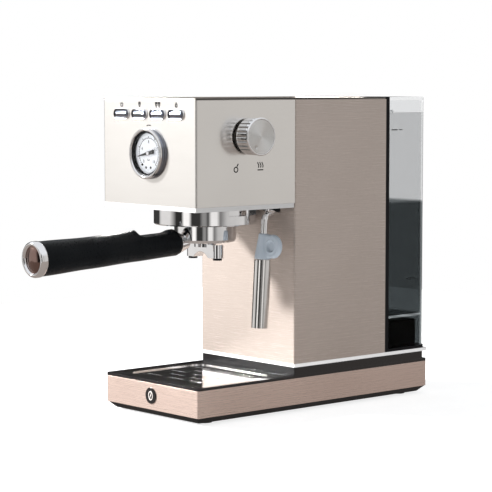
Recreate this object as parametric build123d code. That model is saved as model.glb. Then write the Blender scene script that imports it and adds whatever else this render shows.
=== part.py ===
from build123d import *
import os
from math import cos, radians, sin, tan

# Slim single-group espresso machine, in millimetres.
# Frame: +X is the machine's right, +Y its back and +Z up. The origin is on the worktop,
# under the middle of the base.

# ---- overall ----
body_width = 145.0
base_length = 317.0
body_height = 315.0
head_overhang = 1.7          # the head's face stands this far in front of the base
head_depth = 127.7
column_depth = 128.0
sheet = 1.0                  # steel sheet of the casing
sheet_gap = 0.3              # open seam between neighbouring sheets
corner_radius = 2.0

# ---- base ----
foot_height = 2.0
foot_radius = 8.0
foot_pocket = 2.0
foot_side_inset = 20.0
foot_end_inset = 24.0
band_bottom = 8.0
band_height = 26.5
pan_wall = 2.0
pan_floor = 4.0
pan_taper = 6.0
deck_thickness = 3.0
deck_rim = 4.7
deck_ledge_width = 4.0
deck_ledge_thickness = 2.5
badge_radius = 8.0
badge_thickness = 0.8
badge_height = 22.0
base_screw_side_inset = 17.0
base_screw_front_inset = 22.0
base_screw_back_inset = 20.0
screw_head = 3.0
screw_shank = 1.5
screw_hole_room = 0.2
screw_boss_height = 6.0

# ---- cord inlet ----
gland_x = 45.0
gland_z = 21.0
gland_radius = 8.0
gland_bore = 3.75
gland_flange = 10.5
gland_depth = 8.0
gland_flange_thickness = 2.0

# ---- drip tray ----
tray_clearance = 0.4
tray_flange = 1.5
tray_wall = 1.8
tray_depth = 22.0
tray_back_land = 4.3         # deck left between the tray and the column
cover_sheet = 1.0
cover_border = 9.5
cover_corner = 13.0
slot_length = 22.0
slot_width = 2.0
slot_rows = 5
slot_pitch = 16.0
slot_gap = 12.0

# ---- plinth and trim ----
plinth_height = 8.0
plinth_end_inset = 5.4
plinth_wall = 2.5
trim_height = 3.5
trim_width = 4.0
trim_overhang = 1.0
trim_setback = 0.4           # the plinth's face stands this far behind the trim's

# ---- casing ----
cover_thickness = 5.0        # black rear cover of the column
top_plate_lip = 1.7
top_plate_sheet = 1.2
top_dish = 2.0
top_lip_drop = 6.0           # the top plate's rim reaches this far down inside the casing
top_dish_border = 12.0
top_dish_corner = 8.0
top_slot_rows = 7
top_slot_pitch = 30.0
top_slot_column = 36.0
top_slot_length = 24.0
top_slot_width = 3.0
head_height = 108.8          # from the top of the machine down to the head's underside
head_bottom_rim = 4.5
head_bottom_plate = 2.5
head_bottom_wall = 3.0
flange_width = 11.0          # inward folds at the back of the column's sides
cover_screw_inset = 7.0
cover_screw_low = 21.0
cover_screw_middle = 141.0
cover_screw_top_inset = 19.0

# ---- buttons ----
button_length = 25.0
button_height = 10.6
button_pitch = 28.4
button_below_top = 15.6
surround_width = 1.7
surround_stand = 1.3
button_stand = 2.5
button_clearance = 0.3
button_travel = 1.5
board_setback = 16.0
board_thickness = 1.6
board_side_gap = 8.5
board_above_buttons = 9.6
board_below_buttons = 11.4
switch_depth = 4.0
switch_half = 3.0

# ---- pressure gauge ----
gauge_below_top = 54.0
gauge_dial_radius = 20.5
gauge_bezel_width = 4.5
gauge_bezel_stand = 5.5
gauge_can_wall = 1.5
gauge_can_depth = 25.0
gauge_step = 1.0             # the dial's back stands this far behind the panel
dial_thickness = 0.8
gauge_glass_thickness = 1.0
gauge_spindle_radius = 0.75
needle_length = 16.5
needle_tail = 8.0
needle_angle = 191.5         # from +X, anticlockwise as the user faces the dial

# ---- steam knob ----
knob_radius = 18.4
knob_length = 17.7
knob_gap = 3.0
knob_facets = 24
knob_rim = 1.9               # chrome left around the disc
knob_below_top = 37.0
valve_neck_radius = 6.0
valve_neck_length = 5.0
valve_block = 20.0
valve_depth = 22.0
valve_setback = 3.0
knob_from_head_front = 64.7
spindle_radius = 3.0
running_clearance = 0.06

# ---- group and portafilter ----
group_x = 0.0
group_from_head_front = 71.7
group_head_radius = 40.5
boss_height = 2.5
collar_radius = 51.5
collar_height = 17.2
collar_bore = 37.0
collar_lip_bore = 33.7
collar_lip_height = 3.5
ear_radius = 36.4
ear_height = 4.5
ear_span = 40.0
unlock_angle = 45.0
gasket_thickness = 3.5
gasket_bore = 29.5
screen_clearance = 0.7
bowl_radius = 31.0
bowl_depth = 18.2            # bowl below the collar
bowl_wall = 2.3
bowl_floor = 3.0
basket_clearance = 0.5
basket_depth = 23.0
basket_sheet = 0.6
spout_spacing = 19.0
spout_radius = 6.0
spout_drop = 15.5
spout_tip = 2.2
handle_slope = 2.22
handle_length = 166.0
handle_start = 7.0           # gap between the bowl and the handle
handle_front_radius = 13.0
handle_back_radius = 16.8
handle_below_head = 34.8
cap_length = 8.0
cap_overhang = 0.45
tang_radius = 4.0
tang_length = 45.0

# ---- steam wand ----
wand_from_side = 17.5
wand_from_column = 17.0
wand_below_head = 2.2
ball_radius = 6.0
wand_radius = 3.5
wand_bore = 1.6
wand_neck_radius = 2.6
wand_neck_angle = 44.0
wand_neck_length = 5.8       # straight neck beyond the ball
wand_bend = 9.0
wand_lean = 3.4
nut_wall = 3.5
nut_hold = 2.6               # the nut wraps the ball this far below its middle
nut_tilt = 20.0
nut_mouth = 81.0
nut_shank_height = 7.0
grip_below_head = 25.2
grip_length = 26.0
grip_top_wall = 1.1
grip_bottom_radius = 8.4
tab_reach = 26.5
tab_radius = 12.0
tab_thickness = 6.0
sleeve_radius = 8.4
sleeve_wall = 1.0
sleeve_length = 68.0
sleeve_gap = 0.3
sleeve_cap = 5.0
nozzle_above_mouth = 27.0

# ---- water tank ----
tank_gap = 0.5
tank_depth = 56.5
tank_wall = 2.0
tank_corner = 11.0
tank_floor_height = 84.0
tank_floor_thickness = 2.5
tank_rim_below_top = 16.0
tank_skirt_bottom = 52.5
lid_gap = 0.4
lid_wall = 1.8
lid_chamfer = 4.0
hinge_radius = 1.7
hinge_half = 20.0
hinge_pin_radius = 0.8
hinge_set_out = 0.6          # the hinge pin stands this far behind the tank's back
pedestal_ledge = 3.0
pedestal_height = 80.0
pedestal_inset = 6.5
valve_radius = 8.0
valve_drop = 10.0
plunger_radius = 1.5
hose_x = 20.0
hose_above_trim = 9.0

# ---- machinery inside ----
boiler_size = (90.0, 70.0, 50.0)
pump_radius = 23.0
pump_length = 90.0
pump_offset = -20.0
pump_from_column_front = 74.0
pump_lift = 26.0
pump_port = 8.0
pipe_radius = 2.5
hose_radius = 4.0

# ---- places that several pieces share ----
half_width = body_width / 2
head_bottom_height = body_height - head_height
button_centre_height = body_height - button_below_top
gauge_height = body_height - gauge_below_top
knob_height = body_height - knob_below_top
tank_rim_height = body_height - tank_rim_below_top
handle_height = head_bottom_height - handle_below_head
wand_height = head_bottom_height - wand_below_head
grip_top = head_bottom_height - grip_below_head
base_front = -base_length / 2
base_back = base_length / 2
head_front = base_front - head_overhang
column_front = head_front + head_depth
column_back = column_front + column_depth
rear_cover_back = column_back + cover_thickness
band_top = band_bottom + band_height
deck_top = band_top + deck_thickness
plinth_top = deck_top + plinth_height
plinth_back = base_back - plinth_end_inset
trim_top = plinth_top + trim_height
trim_back = base_back + trim_overhang
shell_top = body_height - top_plate_lip - sheet_gap
head_shell_bottom = head_bottom_height + head_bottom_rim
collar_bottom = head_bottom_height - collar_height
group_y = head_front + group_from_head_front
knob_y = head_front + knob_from_head_front
wand_x = half_width - wand_from_side
wand_y = column_front - wand_from_column
tank_front = rear_cover_back + tank_gap
tank_back = tank_front + tank_depth
pump_y = column_front + pump_from_column_front
tray_front_y = base_front + deck_rim
tray_back_y = column_front - tray_back_land
ledge_z = band_top
cover_z = ledge_z + tray_flange
boiler_base = head_shell_bottom + 11.3
boiler_front = head_front + 36.7
gasket_top = head_bottom_height - boss_height
rim_z = gasket_top - gasket_thickness - 0.2
body_top = rim_z - 0.8
bowl_bottom = collar_bottom - bowl_depth
ear_low = collar_bottom + collar_lip_height + 0.5
basket_radius = bowl_radius - bowl_wall - basket_clearance
cap_radius = handle_back_radius + cap_overhang
gauge_can_radius = gauge_dial_radius + gauge_can_wall
gauge_bezel_radius = gauge_dial_radius + gauge_bezel_width
knob_disc_radius = knob_radius - knob_rim
knob_back = half_width + knob_gap
knob_face = knob_back + knob_length
nut_radius = ball_radius + nut_wall
nut_shank_radius = nut_radius - 1
nut_top = head_bottom_height + nut_shank_height
sleeve_top = grip_top - grip_length - sleeve_gap
sleeve_mouth = sleeve_top - sleeve_length
hinge_y = tank_back + hinge_set_out
hinge_z = tank_rim_height + lid_gap / 2
valve_y = (tank_front + tank_back) / 2
hose_z = trim_top + hose_above_trim
pump_low = trim_top + pump_lift
pump_top = pump_low + pump_length
boiler_top = boiler_base + boiler_size[2]
button_places = [(place - 1.5) * button_pitch for place in range(4)]
button_opening = (button_length - 2 * surround_width, button_height - 2 * surround_width)


def block(x, y, z):
    """Box between the low and high values given for each axis."""
    size = (x[1] - x[0], y[1] - y[0], z[1] - z[0])
    centre = ((x[0] + x[1]) / 2, (y[0] + y[1]) / 2, (z[0] + z[1]) / 2)
    return Pos(*centre) * Box(*size)


def slab(half, y, z, corner):
    """Upright slab with rounded corners, as wide to the left as to the right."""
    depth = y[1] - y[0]
    outline = RectangleRounded(2 * half, depth, corner)
    return Pos(0, (y[0] + y[1]) / 2, z[0]) * extrude(outline, z[1] - z[0])


def upright(x, y, radius, z):
    """Vertical cylinder."""
    return Pos(x, y, (z[0] + z[1]) / 2) * Cylinder(radius, z[1] - z[0])


def lengthwise(x, z, radius, y):
    """Cylinder lying along Y."""
    return Pos(x, (y[0] + y[1]) / 2, z) * Rot(90, 0, 0) * Cylinder(radius, y[1] - y[0])


def crosswise(y, z, radius, x):
    """Cylinder lying along X."""
    return Pos((x[0] + x[1]) / 2, y, z) * Rot(0, 90, 0) * Cylinder(radius, x[1] - x[0])


def pill(x, z, length, height, y):
    """Stadium-shaped bar lying along Y."""
    outline = SlotOverall(length, height)
    bar = extrude(Plane.XZ * outline, -(y[1] - y[0]))
    return Pos(x, y[0], z) * bar


def turned(profile):
    """Solid turned about the Z axis from (radius, height) points."""
    face = make_face(Plane.XZ * Polyline(*profile, close=True))
    return revolve(face, Axis.Z)


def tube_along(points, bend, radius):
    """Round bar along a bent path."""
    path = FilletPolyline(*points, radius=bend)
    start = Plane(path @ 0, z_dir=path % 0)
    return sweep(start * Circle(radius), path=path)


def corners(x, front, back):
    """The four corner places of a rectangle that is centred across the machine."""
    return [(-x, front), (x, front), (-x, back), (x, back)]


foot_places = corners(half_width - foot_side_inset, base_front + foot_end_inset, base_back - foot_end_inset)
base_screw_places = corners(
    half_width - base_screw_side_inset,
    column_front + base_screw_front_inset,
    plinth_back - base_screw_back_inset,
)
cover_screw_heights = (
    trim_top + cover_screw_low,
    trim_top + cover_screw_middle,
    body_height - cover_screw_top_inset,
)
cover_screw_places = [
    (side * (half_width - cover_screw_inset), z) for side in (-1, 1) for z in cover_screw_heights
]


# ---- base ----
def make_base_pan():
    low = RectangleRounded(body_width - 2 * pan_taper - 1, base_length - 2 * pan_taper - 1, corner_radius)
    high = RectangleRounded(body_width - 1, base_length - 1, corner_radius)
    pan = loft([Pos(0, 0, foot_height) * low, Pos(0, 0, band_bottom) * high])
    inset = sheet + 0.1
    inner = inset + pan_wall
    floor_z = foot_height + pan_floor
    wall_z = (band_bottom, band_top)
    pan += slab(half_width - inset, (base_front + inset, base_back - inset), wall_z, corner_radius)
    pan -= slab(half_width - inner, (base_front + inner, base_back - inner), wall_z, 1.0)
    low_inner = pan_taper + pan_wall
    low_room = (base_front + low_inner, base_back - low_inner)
    pan -= slab(half_width - low_inner, low_room, (floor_z, band_bottom), 1.0)
    for x, y in foot_places:
        pan -= upright(x, y, foot_radius, (foot_height, foot_height + foot_pocket))
    boss_top = floor_z + screw_boss_height
    for x, y in base_screw_places:
        pan += upright(x, y, 2 * screw_head, (floor_z, boss_top))
        pan -= upright(x, y, screw_shank + screw_hole_room, (foot_height, boss_top))
        pan -= upright(x, y, screw_head + 0.4, (foot_height, floor_z))
    pan -= lengthwise(gland_x, gland_z, gland_radius, (base_back - inner - 1, base_back))
    return pan


def make_rubber_feet():
    feet = []
    for x, y in foot_places:
        foot = upright(x, y, foot_radius, (0, foot_height + foot_pocket))
        feet.append(foot - upright(x, y, foot_radius / 2, (0, 0.8)))
    return feet


def make_base_band():
    band = slab(half_width, (base_front, base_back), (band_bottom, band_top), corner_radius)
    band -= slab(half_width - sheet, (base_front + sheet, base_back - sheet), (band_bottom, band_top), 1.0)
    return band - lengthwise(gland_x, gland_z, gland_radius, (base_back - 2 * sheet, base_back))


def make_base_deck():
    deck = slab(half_width, (base_front, base_back), (band_top, deck_top), corner_radius)
    ledge_out = sheet + pan_wall + 0.3
    ledge = slab(
        half_width - ledge_out,
        (base_front + ledge_out, tray_back_y + 8),
        (band_top - deck_ledge_thickness, band_top),
        1.0,
    )
    deck += ledge
    tray_half = half_width - deck_rim
    deck -= slab(tray_half, (tray_front_y, tray_back_y), (band_top, deck_top), 1.5)
    deck -= slab(
        tray_half - deck_ledge_width,
        (tray_front_y + deck_ledge_width, tray_back_y - deck_ledge_width),
        (band_top - deck_ledge_thickness, deck_top),
        6.0,
    )
    boss_low = foot_height + pan_floor + screw_boss_height
    for x, y in base_screw_places:
        deck += upright(x, y, 1.5 * screw_head, (boss_low, band_top))
        deck -= upright(x, y, screw_shank, (boss_low, band_top - 4))
    return deck


def make_badge():
    return lengthwise(0, badge_height, badge_radius, (base_front - badge_thickness, base_front))


def make_drip_tray():
    half = half_width - deck_rim - tray_clearance
    front = tray_front_y + tray_clearance
    back = tray_back_y - tray_clearance
    tub = deck_ledge_width + tray_clearance
    tray = slab(half, (front, back), (ledge_z, ledge_z + tray_flange), 1.2)
    tray += slab(half - tub, (front + tub, back - tub), (ledge_z - tray_depth, ledge_z), 5.5)
    inner = tub + tray_wall
    floor_z = ledge_z - tray_depth + tray_wall
    tray -= slab(half - inner, (front + inner, back - inner), (floor_z, ledge_z + tray_flange), 4.0)
    return tray


def make_drip_tray_cover():
    half = half_width - deck_rim - 2 * tray_clearance
    front = tray_front_y + 2 * tray_clearance
    back = tray_back_y - 2 * tray_clearance
    cover = slab(half, (front, back), (cover_z, cover_z + cover_sheet), 1.2)
    dish = (front + cover_border, back - cover_border)
    dish_half = half - cover_border
    cover -= slab(dish_half, dish, (cover_z, cover_z + cover_sheet), cover_corner)
    cover += slab(
        dish_half + cover_sheet,
        (dish[0] - cover_sheet, dish[1] + cover_sheet),
        (cover_z - cover_sheet, cover_z),
        cover_corner + cover_sheet,
    )
    middle = (front + back) / 2
    slot = extrude(SlotOverall(slot_length, slot_width), cover_sheet)
    for row in range(slot_rows):
        y = middle + (row - (slot_rows - 1) / 2) * slot_pitch
        count = 3 if row % 2 == 0 else 2
        for place in range(count):
            x = (place - (count - 1) / 2) * (slot_length + slot_gap)
            cover -= Pos(x, y, cover_z - cover_sheet) * slot
    return cover


def make_plinth():
    front = column_front + trim_setback
    plinth = slab(half_width, (front, plinth_back), (deck_top, plinth_top), corner_radius)
    inner = plinth_wall
    room = (front + inner, plinth_back - inner)
    return plinth - slab(half_width - inner, room, (deck_top, plinth_top - plinth_wall), 1.0)


def make_trim_strip():
    strip = slab(half_width, (column_front, trim_back), (plinth_top, trim_top), corner_radius)
    inner = (column_front + trim_width, trim_back - trim_width)
    return strip - slab(half_width - trim_width, inner, (plinth_top, trim_top), 1.0)


# ---- cord inlet ----
def make_cord_gland():
    inner_end = base_back - gland_depth
    outer_end = base_back + gland_flange_thickness
    gland = lengthwise(gland_x, gland_z, gland_radius, (inner_end, base_back))
    gland += lengthwise(gland_x, gland_z, gland_flange, (base_back, outer_end))
    return gland - lengthwise(gland_x, gland_z, gland_bore, (inner_end, outer_end))


# ---- casing ----
def make_column_shell():
    shell = slab(half_width, (column_front, column_back + 10), (trim_top, shell_top), corner_radius)
    shell -= slab(half_width - sheet, (column_front + sheet, column_back + 20), (trim_top, shell_top), 1.0)
    shell -= block((-half_width - 1, half_width + 1), (column_back, column_back + 30), (trim_top, shell_top))
    window = head_shell_bottom + 6
    fold = half_width - sheet - flange_width
    shell -= block((-fold, fold), (column_front, column_front + sheet), (window, shell_top))
    lip_room = (shell_top - top_lip_drop - 1, shell_top)
    shell -= block((sheet - half_width, half_width - sheet), (column_front, column_front + sheet), lip_room)
    for side in (-1, 1):
        x = sorted((side * (half_width - sheet), side * fold))
        shell += block(x, (column_back - sheet, column_back), (trim_top, lip_room[0]))
    for x, z in cover_screw_places:
        shell -= lengthwise(x, z, screw_shank, (column_back - sheet, column_back))
    return shell


def make_rear_cover():
    cover = block((-half_width, half_width), (column_back, rear_cover_back), (trim_top, body_height))
    for x, z in cover_screw_places:
        cover -= lengthwise(x, z, screw_shank + screw_hole_room, (column_back, rear_cover_back))
        cover -= lengthwise(x, z, screw_head + screw_hole_room, (rear_cover_back - 2.5, rear_cover_back))
    return cover - lengthwise(hose_x, hose_z, hose_radius + 0.5, (column_back, rear_cover_back))


def make_case_screws():
    screws = []
    floor_z = foot_height + pan_floor
    for x, y in base_screw_places:
        screw = upright(x, y, screw_head, (floor_z - 2, floor_z))
        screws.append(screw + upright(x, y, screw_shank, (floor_z, floor_z + 16)))
    for x, z in cover_screw_places:
        screw = lengthwise(x, z, screw_head, (rear_cover_back - 2.5, rear_cover_back - 0.5))
        screws.append(screw + lengthwise(x, z, screw_shank, (column_back - 6, rear_cover_back - 2.5)))
    return screws


def make_head_shell():
    back = column_front - sheet_gap
    shell = slab(half_width, (head_front, back + 10), (head_shell_bottom, shell_top), corner_radius)
    shell -= slab(half_width - sheet, (head_front + sheet, back + 20), (head_shell_bottom, shell_top), 1.0)
    shell -= block((-half_width - 1, half_width + 1), (back, back + 30), (head_shell_bottom, shell_top))
    wall = (head_front, head_front + sheet)
    for x in button_places:
        size = (button_length - surround_width, button_height - surround_width)
        shell -= pill(x, button_centre_height, *size, wall)
    shell -= lengthwise(0, gauge_height, gauge_can_radius + 0.3, wall)
    return shell - crosswise(knob_y, knob_height, valve_neck_radius + 0.2, (half_width - sheet, half_width))


def make_head_bottom():
    back = column_front - sheet_gap
    plan = (head_front, back)
    plate = slab(half_width, plan, (head_bottom_height, head_shell_bottom), corner_radius)
    inner = (head_front + head_bottom_wall, back - head_bottom_wall)
    well = (head_bottom_height + head_bottom_plate, head_shell_bottom)
    plate -= slab(half_width - head_bottom_wall, inner, well, 1.0)
    plate -= upright(group_x, group_y, group_head_radius + 0.4, (head_bottom_height, head_shell_bottom))
    return plate - upright(wand_x, wand_y, nut_shank_radius + 0.2, (head_bottom_height, head_shell_bottom))


def make_top_plate():
    low = shell_top + sheet_gap
    plate = slab(half_width, (head_front, column_back), (low, body_height), corner_radius)
    inset = sheet + 0.3
    plate += slab(half_width - inset, (head_front + inset, column_back), (low - top_lip_drop, low), 1.0)
    inner = inset + top_plate_sheet
    under = (low - top_lip_drop, body_height - top_plate_sheet)
    plate -= slab(half_width - inner, (head_front + inner, column_back - inner), under, 1.0)
    border = top_dish_border
    dish = (head_front + border, column_back - border)
    hollow = slab(half_width - border, dish, (body_height - top_dish, body_height), top_dish_corner)
    plate -= hollow
    floor_z = body_height - top_dish - top_plate_sheet
    grown = (dish[0] - top_plate_sheet, dish[1] + top_plate_sheet)
    cup_top = body_height - top_plate_sheet
    cup_corner = top_dish_corner + top_plate_sheet
    plate += slab(half_width - border + top_plate_sheet, grown, (floor_z, cup_top), cup_corner) - hollow
    middle = (dish[0] + dish[1]) / 2
    slot = extrude(SlotOverall(top_slot_length, top_slot_width), top_plate_sheet)
    for row in range(top_slot_rows):
        y = middle + (row - (top_slot_rows - 1) / 2) * top_slot_pitch
        for x in (-top_slot_column, 0.0, top_slot_column):
            plate -= Pos(x, y, floor_z) * slot
    return plate


# ---- buttons and board ----
def make_button_surrounds():
    surrounds = []
    proud = (head_front - surround_stand, head_front)
    for x in button_places:
        ring = pill(x, button_centre_height, button_length, button_height, proud)
        size = (button_length - surround_width - 0.2, button_height - surround_width - 0.2)
        ring += pill(x, button_centre_height, *size, (head_front, head_front + 4))
        bore = (head_front - surround_stand, head_front + 4)
        surrounds.append(ring - pill(x, button_centre_height, *button_opening, bore))
    return surrounds


def make_button(x):
    size = [length - 2 * button_clearance for length in button_opening]
    face = head_front - button_stand
    button = pill(x, button_centre_height, *size, (face, head_front + 5))
    stem_end = head_front + board_setback - switch_depth - button_travel - 0.2
    return button + lengthwise(x, button_centre_height, 2.0, (head_front + 5, stem_end))


def make_control_board():
    front = head_front + board_setback
    back = front + board_thickness
    half = half_width - board_side_gap
    low = button_centre_height - board_below_buttons
    high = button_centre_height + board_above_buttons
    board = block((-half, half), (front, back), (low, high))
    switch_z = (button_centre_height - switch_half, button_centre_height + switch_half)
    for x in button_places:
        board += block((x - switch_half, x + switch_half), (front - switch_depth, front), switch_z)
    for side in (-1, 1):
        x = sorted((side * (half - 4), side * (half_width - sheet)))
        board += block(x, (back, back + 3), (low + 2, high - 2))
    return board


# ---- pressure gauge ----
def facing_front(solid, height):
    """Stands a piece that was turned about Z upright, so that its +Z end faces the user."""
    return Pos(0, head_front, height) * Rot(90, 0, 0) * solid


def make_gauge_case():
    profile = [
        (0, -gauge_can_depth),
        (gauge_can_radius, -gauge_can_depth),
        (gauge_can_radius, 0),
        (gauge_bezel_radius - 0.6, 0),
        (gauge_bezel_radius, 0.6),
        (gauge_bezel_radius, gauge_bezel_stand - 1.5),
        (gauge_bezel_radius - 1.5, gauge_bezel_stand),
        (gauge_dial_radius + 1.4, gauge_bezel_stand),
        (gauge_dial_radius + 0.2, gauge_bezel_stand - 1.2),
        (gauge_dial_radius + 0.2, -gauge_step),
        (gauge_dial_radius - 1.5, -gauge_step),
        (gauge_dial_radius - 1.5, 1.5 - gauge_can_depth),
        (0, 1.5 - gauge_can_depth),
    ]
    case = turned(profile)
    case += Pos(0, 0, -gauge_can_depth - 4) * Cylinder(4.0, 8.0)
    pipe_end = head_front - boiler_front
    case += Pos(0, 0, (pipe_end - gauge_can_depth - 8) / 2) * Cylinder(1.5, -pipe_end - gauge_can_depth - 8)
    return facing_front(case, gauge_height)


def make_gauge_movement():
    frame = Pos(0, 0, -gauge_can_depth + 1.5 + 6) * Cylinder(12.0, 12.0)
    bore = gauge_spindle_radius + running_clearance
    frame -= Pos(0, 0, -gauge_can_depth + 1.5 + 9) * Cylinder(bore, 6.0)
    return facing_front(frame, gauge_height)


def make_gauge_dial():
    dial = Pos(0, 0, -gauge_step + dial_thickness / 2) * Cylinder(gauge_dial_radius, dial_thickness)
    dial -= Pos(0, 0, -gauge_step + dial_thickness / 2) * Cylinder(gauge_spindle_radius + 0.3, dial_thickness)
    return facing_front(dial, gauge_height)


def make_gauge_needle():
    plane_z = 0.9
    thickness = 0.6
    outline = Polyline((-needle_tail, -1.5), (-2, -0.9), (needle_length, -0.25), (needle_length, 0.25),
                       (-2, 0.9), (-needle_tail, 1.5), close=True)
    needle = Pos(0, 0, plane_z) * extrude(make_face(outline), thickness)
    needle += Pos(0, 0, plane_z + 0.4) * Cylinder(2.2, 1.2)
    spindle_low = -gauge_can_depth + 9
    needle += Pos(0, 0, (spindle_low + plane_z) / 2) * Cylinder(gauge_spindle_radius, plane_z - spindle_low)
    return facing_front(Rot(0, 0, needle_angle) * needle, gauge_height)


def make_gauge_glass():
    middle = gauge_bezel_stand - 1.3 - gauge_glass_thickness / 2
    glass = Pos(0, 0, middle) * Cylinder(gauge_dial_radius + 0.2, gauge_glass_thickness)
    return facing_front(glass, gauge_height)


# ---- steam knob and valve ----
def facing_right(solid):
    """Lays a piece that was made along Z on the steam valve's axis, its +Z end outwards."""
    return Pos(0, knob_y, knob_height) * Rot(0, 90, 0) * solid


def make_steam_knob():
    rim = 2.2
    skirt = extrude(RegularPolygon(knob_radius - 0.3, knob_facets), knob_length - rim)
    knob = Pos(0, 0, knob_back) * skirt
    knob += Pos(0, 0, knob_face - rim / 2) * Cylinder(knob_radius, rim)
    knob -= Pos(0, 0, knob_face - 0.5) * Cylinder(knob_disc_radius, 1.0)
    room = knob_length - 7
    knob -= Pos(0, 0, knob_back + room / 2) * (Cylinder(knob_radius - 3, room) - Cylinder(6.5, room))
    hub = knob_length - 5
    knob -= Pos(0, 0, knob_back + hub / 2) * Cylinder(spindle_radius, hub)
    return facing_right(knob)


def make_knob_disc():
    disc = Pos(0, 0, knob_face - 0.5) * Cylinder(knob_disc_radius, 1.0)
    angle = radians(238)
    reach = 12.0
    dimple = Pos(-reach * sin(angle), reach * cos(angle), knob_face - 0.15) * Cylinder(1.6, 0.3)
    return facing_right(disc - dimple)


def make_valve_spindle():
    low = half_width - 16
    high = knob_face - 5
    return facing_right(Pos(0, 0, (low + high) / 2) * Cylinder(spindle_radius, high - low))


def make_steam_valve():
    """Valve block inside the head, its neck through the side, and the washer and nut outside."""
    back = half_width - valve_setback
    body = Pos(0, 0, back - valve_depth / 2) * Box(valve_block, valve_block, valve_depth)
    body += Pos(0, 0, back + valve_neck_length / 2) * Cylinder(valve_neck_radius, valve_neck_length)
    body += Pos(0, 0, half_width + 0.5) * Cylinder(1.5 * valve_neck_radius, 1.0)
    body += Pos(0, 0, half_width + 1) * extrude(RegularPolygon(1.5 * valve_neck_radius, 6), 1.8)
    bore_low = half_width - 16
    bore_high = half_width + 4
    bore = Cylinder(spindle_radius + running_clearance, bore_high - bore_low)
    return facing_right(body - Pos(0, 0, (bore_low + bore_high) / 2) * bore)


# ---- group ----
def at_group(solid):
    return Pos(group_x, group_y, 0) * solid


def sector(radius, low, high, start, span):
    """Pie slice about the group's axis, from the start angle on."""
    path = Polyline((0, 0), (radius * cos(radians(start)), radius * sin(radians(start))))
    arc = CenterArc((0, 0), radius, start, span)
    close = Polyline((radius * cos(radians(start + span)), radius * sin(radians(start + span))), (0, 0))
    face = make_face(Curve() + [path, arc, close])
    return Pos(0, 0, low) * extrude(face, high - low)


def make_group_collar():
    outer = collar_radius
    low = collar_bottom
    high = head_bottom_height
    profile = [
        (collar_lip_bore, low),
        (outer - 1, low),
        (outer, low + 1),
        (outer, high),
        (collar_bore, high),
        (collar_bore, low + collar_lip_height),
        (collar_lip_bore, low + collar_lip_height),
    ]
    collar = turned(profile)
    for start in (0, 180):
        entry = start - unlock_angle - ear_span / 2 - 4
        notch = sector(ear_radius + 0.5, low, low + collar_lip_height, entry, ear_span + 8)
        collar -= notch
        recess = sector(outer + 2, high - 7.5, high, start - 13, 55)
        collar -= recess - Pos(0, 0, high) * Cylinder(outer - 7, 40)
    return at_group(collar)


def make_group_head():
    low = gasket_top
    head = Pos(0, 0, (head_bottom_height + boiler_base) / 2) * Cylinder(
        group_head_radius, boiler_base - head_bottom_height
    )
    head += Pos(0, 0, low + boss_height / 2) * Cylinder(collar_bore - 0.2, boss_height)
    head -= Pos(0, 0, (low + boiler_base) / 2) * Cylinder(3.0, boiler_base - low)
    return at_group(head)


def make_group_gasket():
    low = gasket_top - gasket_thickness
    ring = Pos(0, 0, low + gasket_thickness / 2) * (
        Cylinder(collar_bore - 0.4, gasket_thickness) - Cylinder(gasket_bore, gasket_thickness)
    )
    return at_group(ring)


def make_shower_screen():
    high = gasket_top
    screen = Pos(0, 0, high - 0.75) * Cylinder(gasket_bore - screen_clearance, 1.5)
    screen += Pos(0, 0, high - 2.2) * Cylinder(4.0, 1.4)
    for ring, count in ((9.0, 8), (16.0, 14), (23.0, 20)):
        for place in range(count):
            angle = radians(360.0 * place / count)
            hole = Pos(ring * cos(angle), ring * sin(angle), high - 0.75) * Cylinder(0.9, 1.5)
            screen -= hole
    return at_group(screen)


# ---- portafilter ----
def handle_frame():
    """Local frame of the handle: +Z runs outwards along it, and +Y is its upper side."""
    angle = radians(handle_slope)
    start = (group_x, group_y - bowl_radius - handle_start, handle_height)
    return Plane(start, x_dir=(1, 0, 0), z_dir=(0, -cos(angle), -sin(angle))).location


def make_portafilter_body():
    upper = collar_lip_bore - 0.6
    profile = [
        (0, bowl_bottom),
        (bowl_radius - 3, bowl_bottom),
        (bowl_radius - 0.9, bowl_bottom + 0.9),
        (bowl_radius, bowl_bottom + 3),
        (bowl_radius, collar_bottom),
        (upper, collar_bottom + 0.01),
        (upper, body_top),
        (0, body_top),
    ]
    body = at_group(turned(profile))
    for start in (0, 180):
        ear = sector(ear_radius, ear_low, ear_low + ear_height, start - ear_span / 2, ear_span)
        body += at_group(ear)
    frame = handle_frame()
    neck_back = handle_start + 6
    body += frame * Pos(0, 0, -neck_back / 2) * Cone(7.0, 11.5, neck_back)
    body += frame * Pos(0, 0, tang_length / 2) * Cylinder(tang_radius, tang_length)
    inner = bowl_radius - bowl_wall
    room = body_top - bowl_bottom - bowl_floor
    body -= at_group(Pos(0, 0, bowl_bottom + bowl_floor + room / 2) * Cylinder(inner, room))
    body -= at_group(Pos(0, 0, bowl_bottom + bowl_floor / 2) * Cylinder(4.0, bowl_floor))
    return body


def make_filter_basket():
    low = rim_z - basket_depth
    profile = [
        (0, low),
        (basket_radius, low),
        (basket_radius, body_top),
        (collar_lip_bore - 1.2, body_top),
        (collar_lip_bore - 1.2, rim_z),
        (basket_radius - basket_sheet, rim_z),
        (basket_radius - basket_sheet, low + basket_sheet),
        (0, low + basket_sheet),
    ]
    basket = turned(profile)
    hole = Cylinder(0.6, basket_sheet)
    for ring, count in ((0.0, 1), (6.0, 6), (12.0, 12), (18.0, 18)):
        for place in range(count):
            angle = radians(360.0 * place / count)
            basket -= Pos(ring * cos(angle), ring * sin(angle), low + basket_sheet / 2) * hole
    return at_group(basket)


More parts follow.
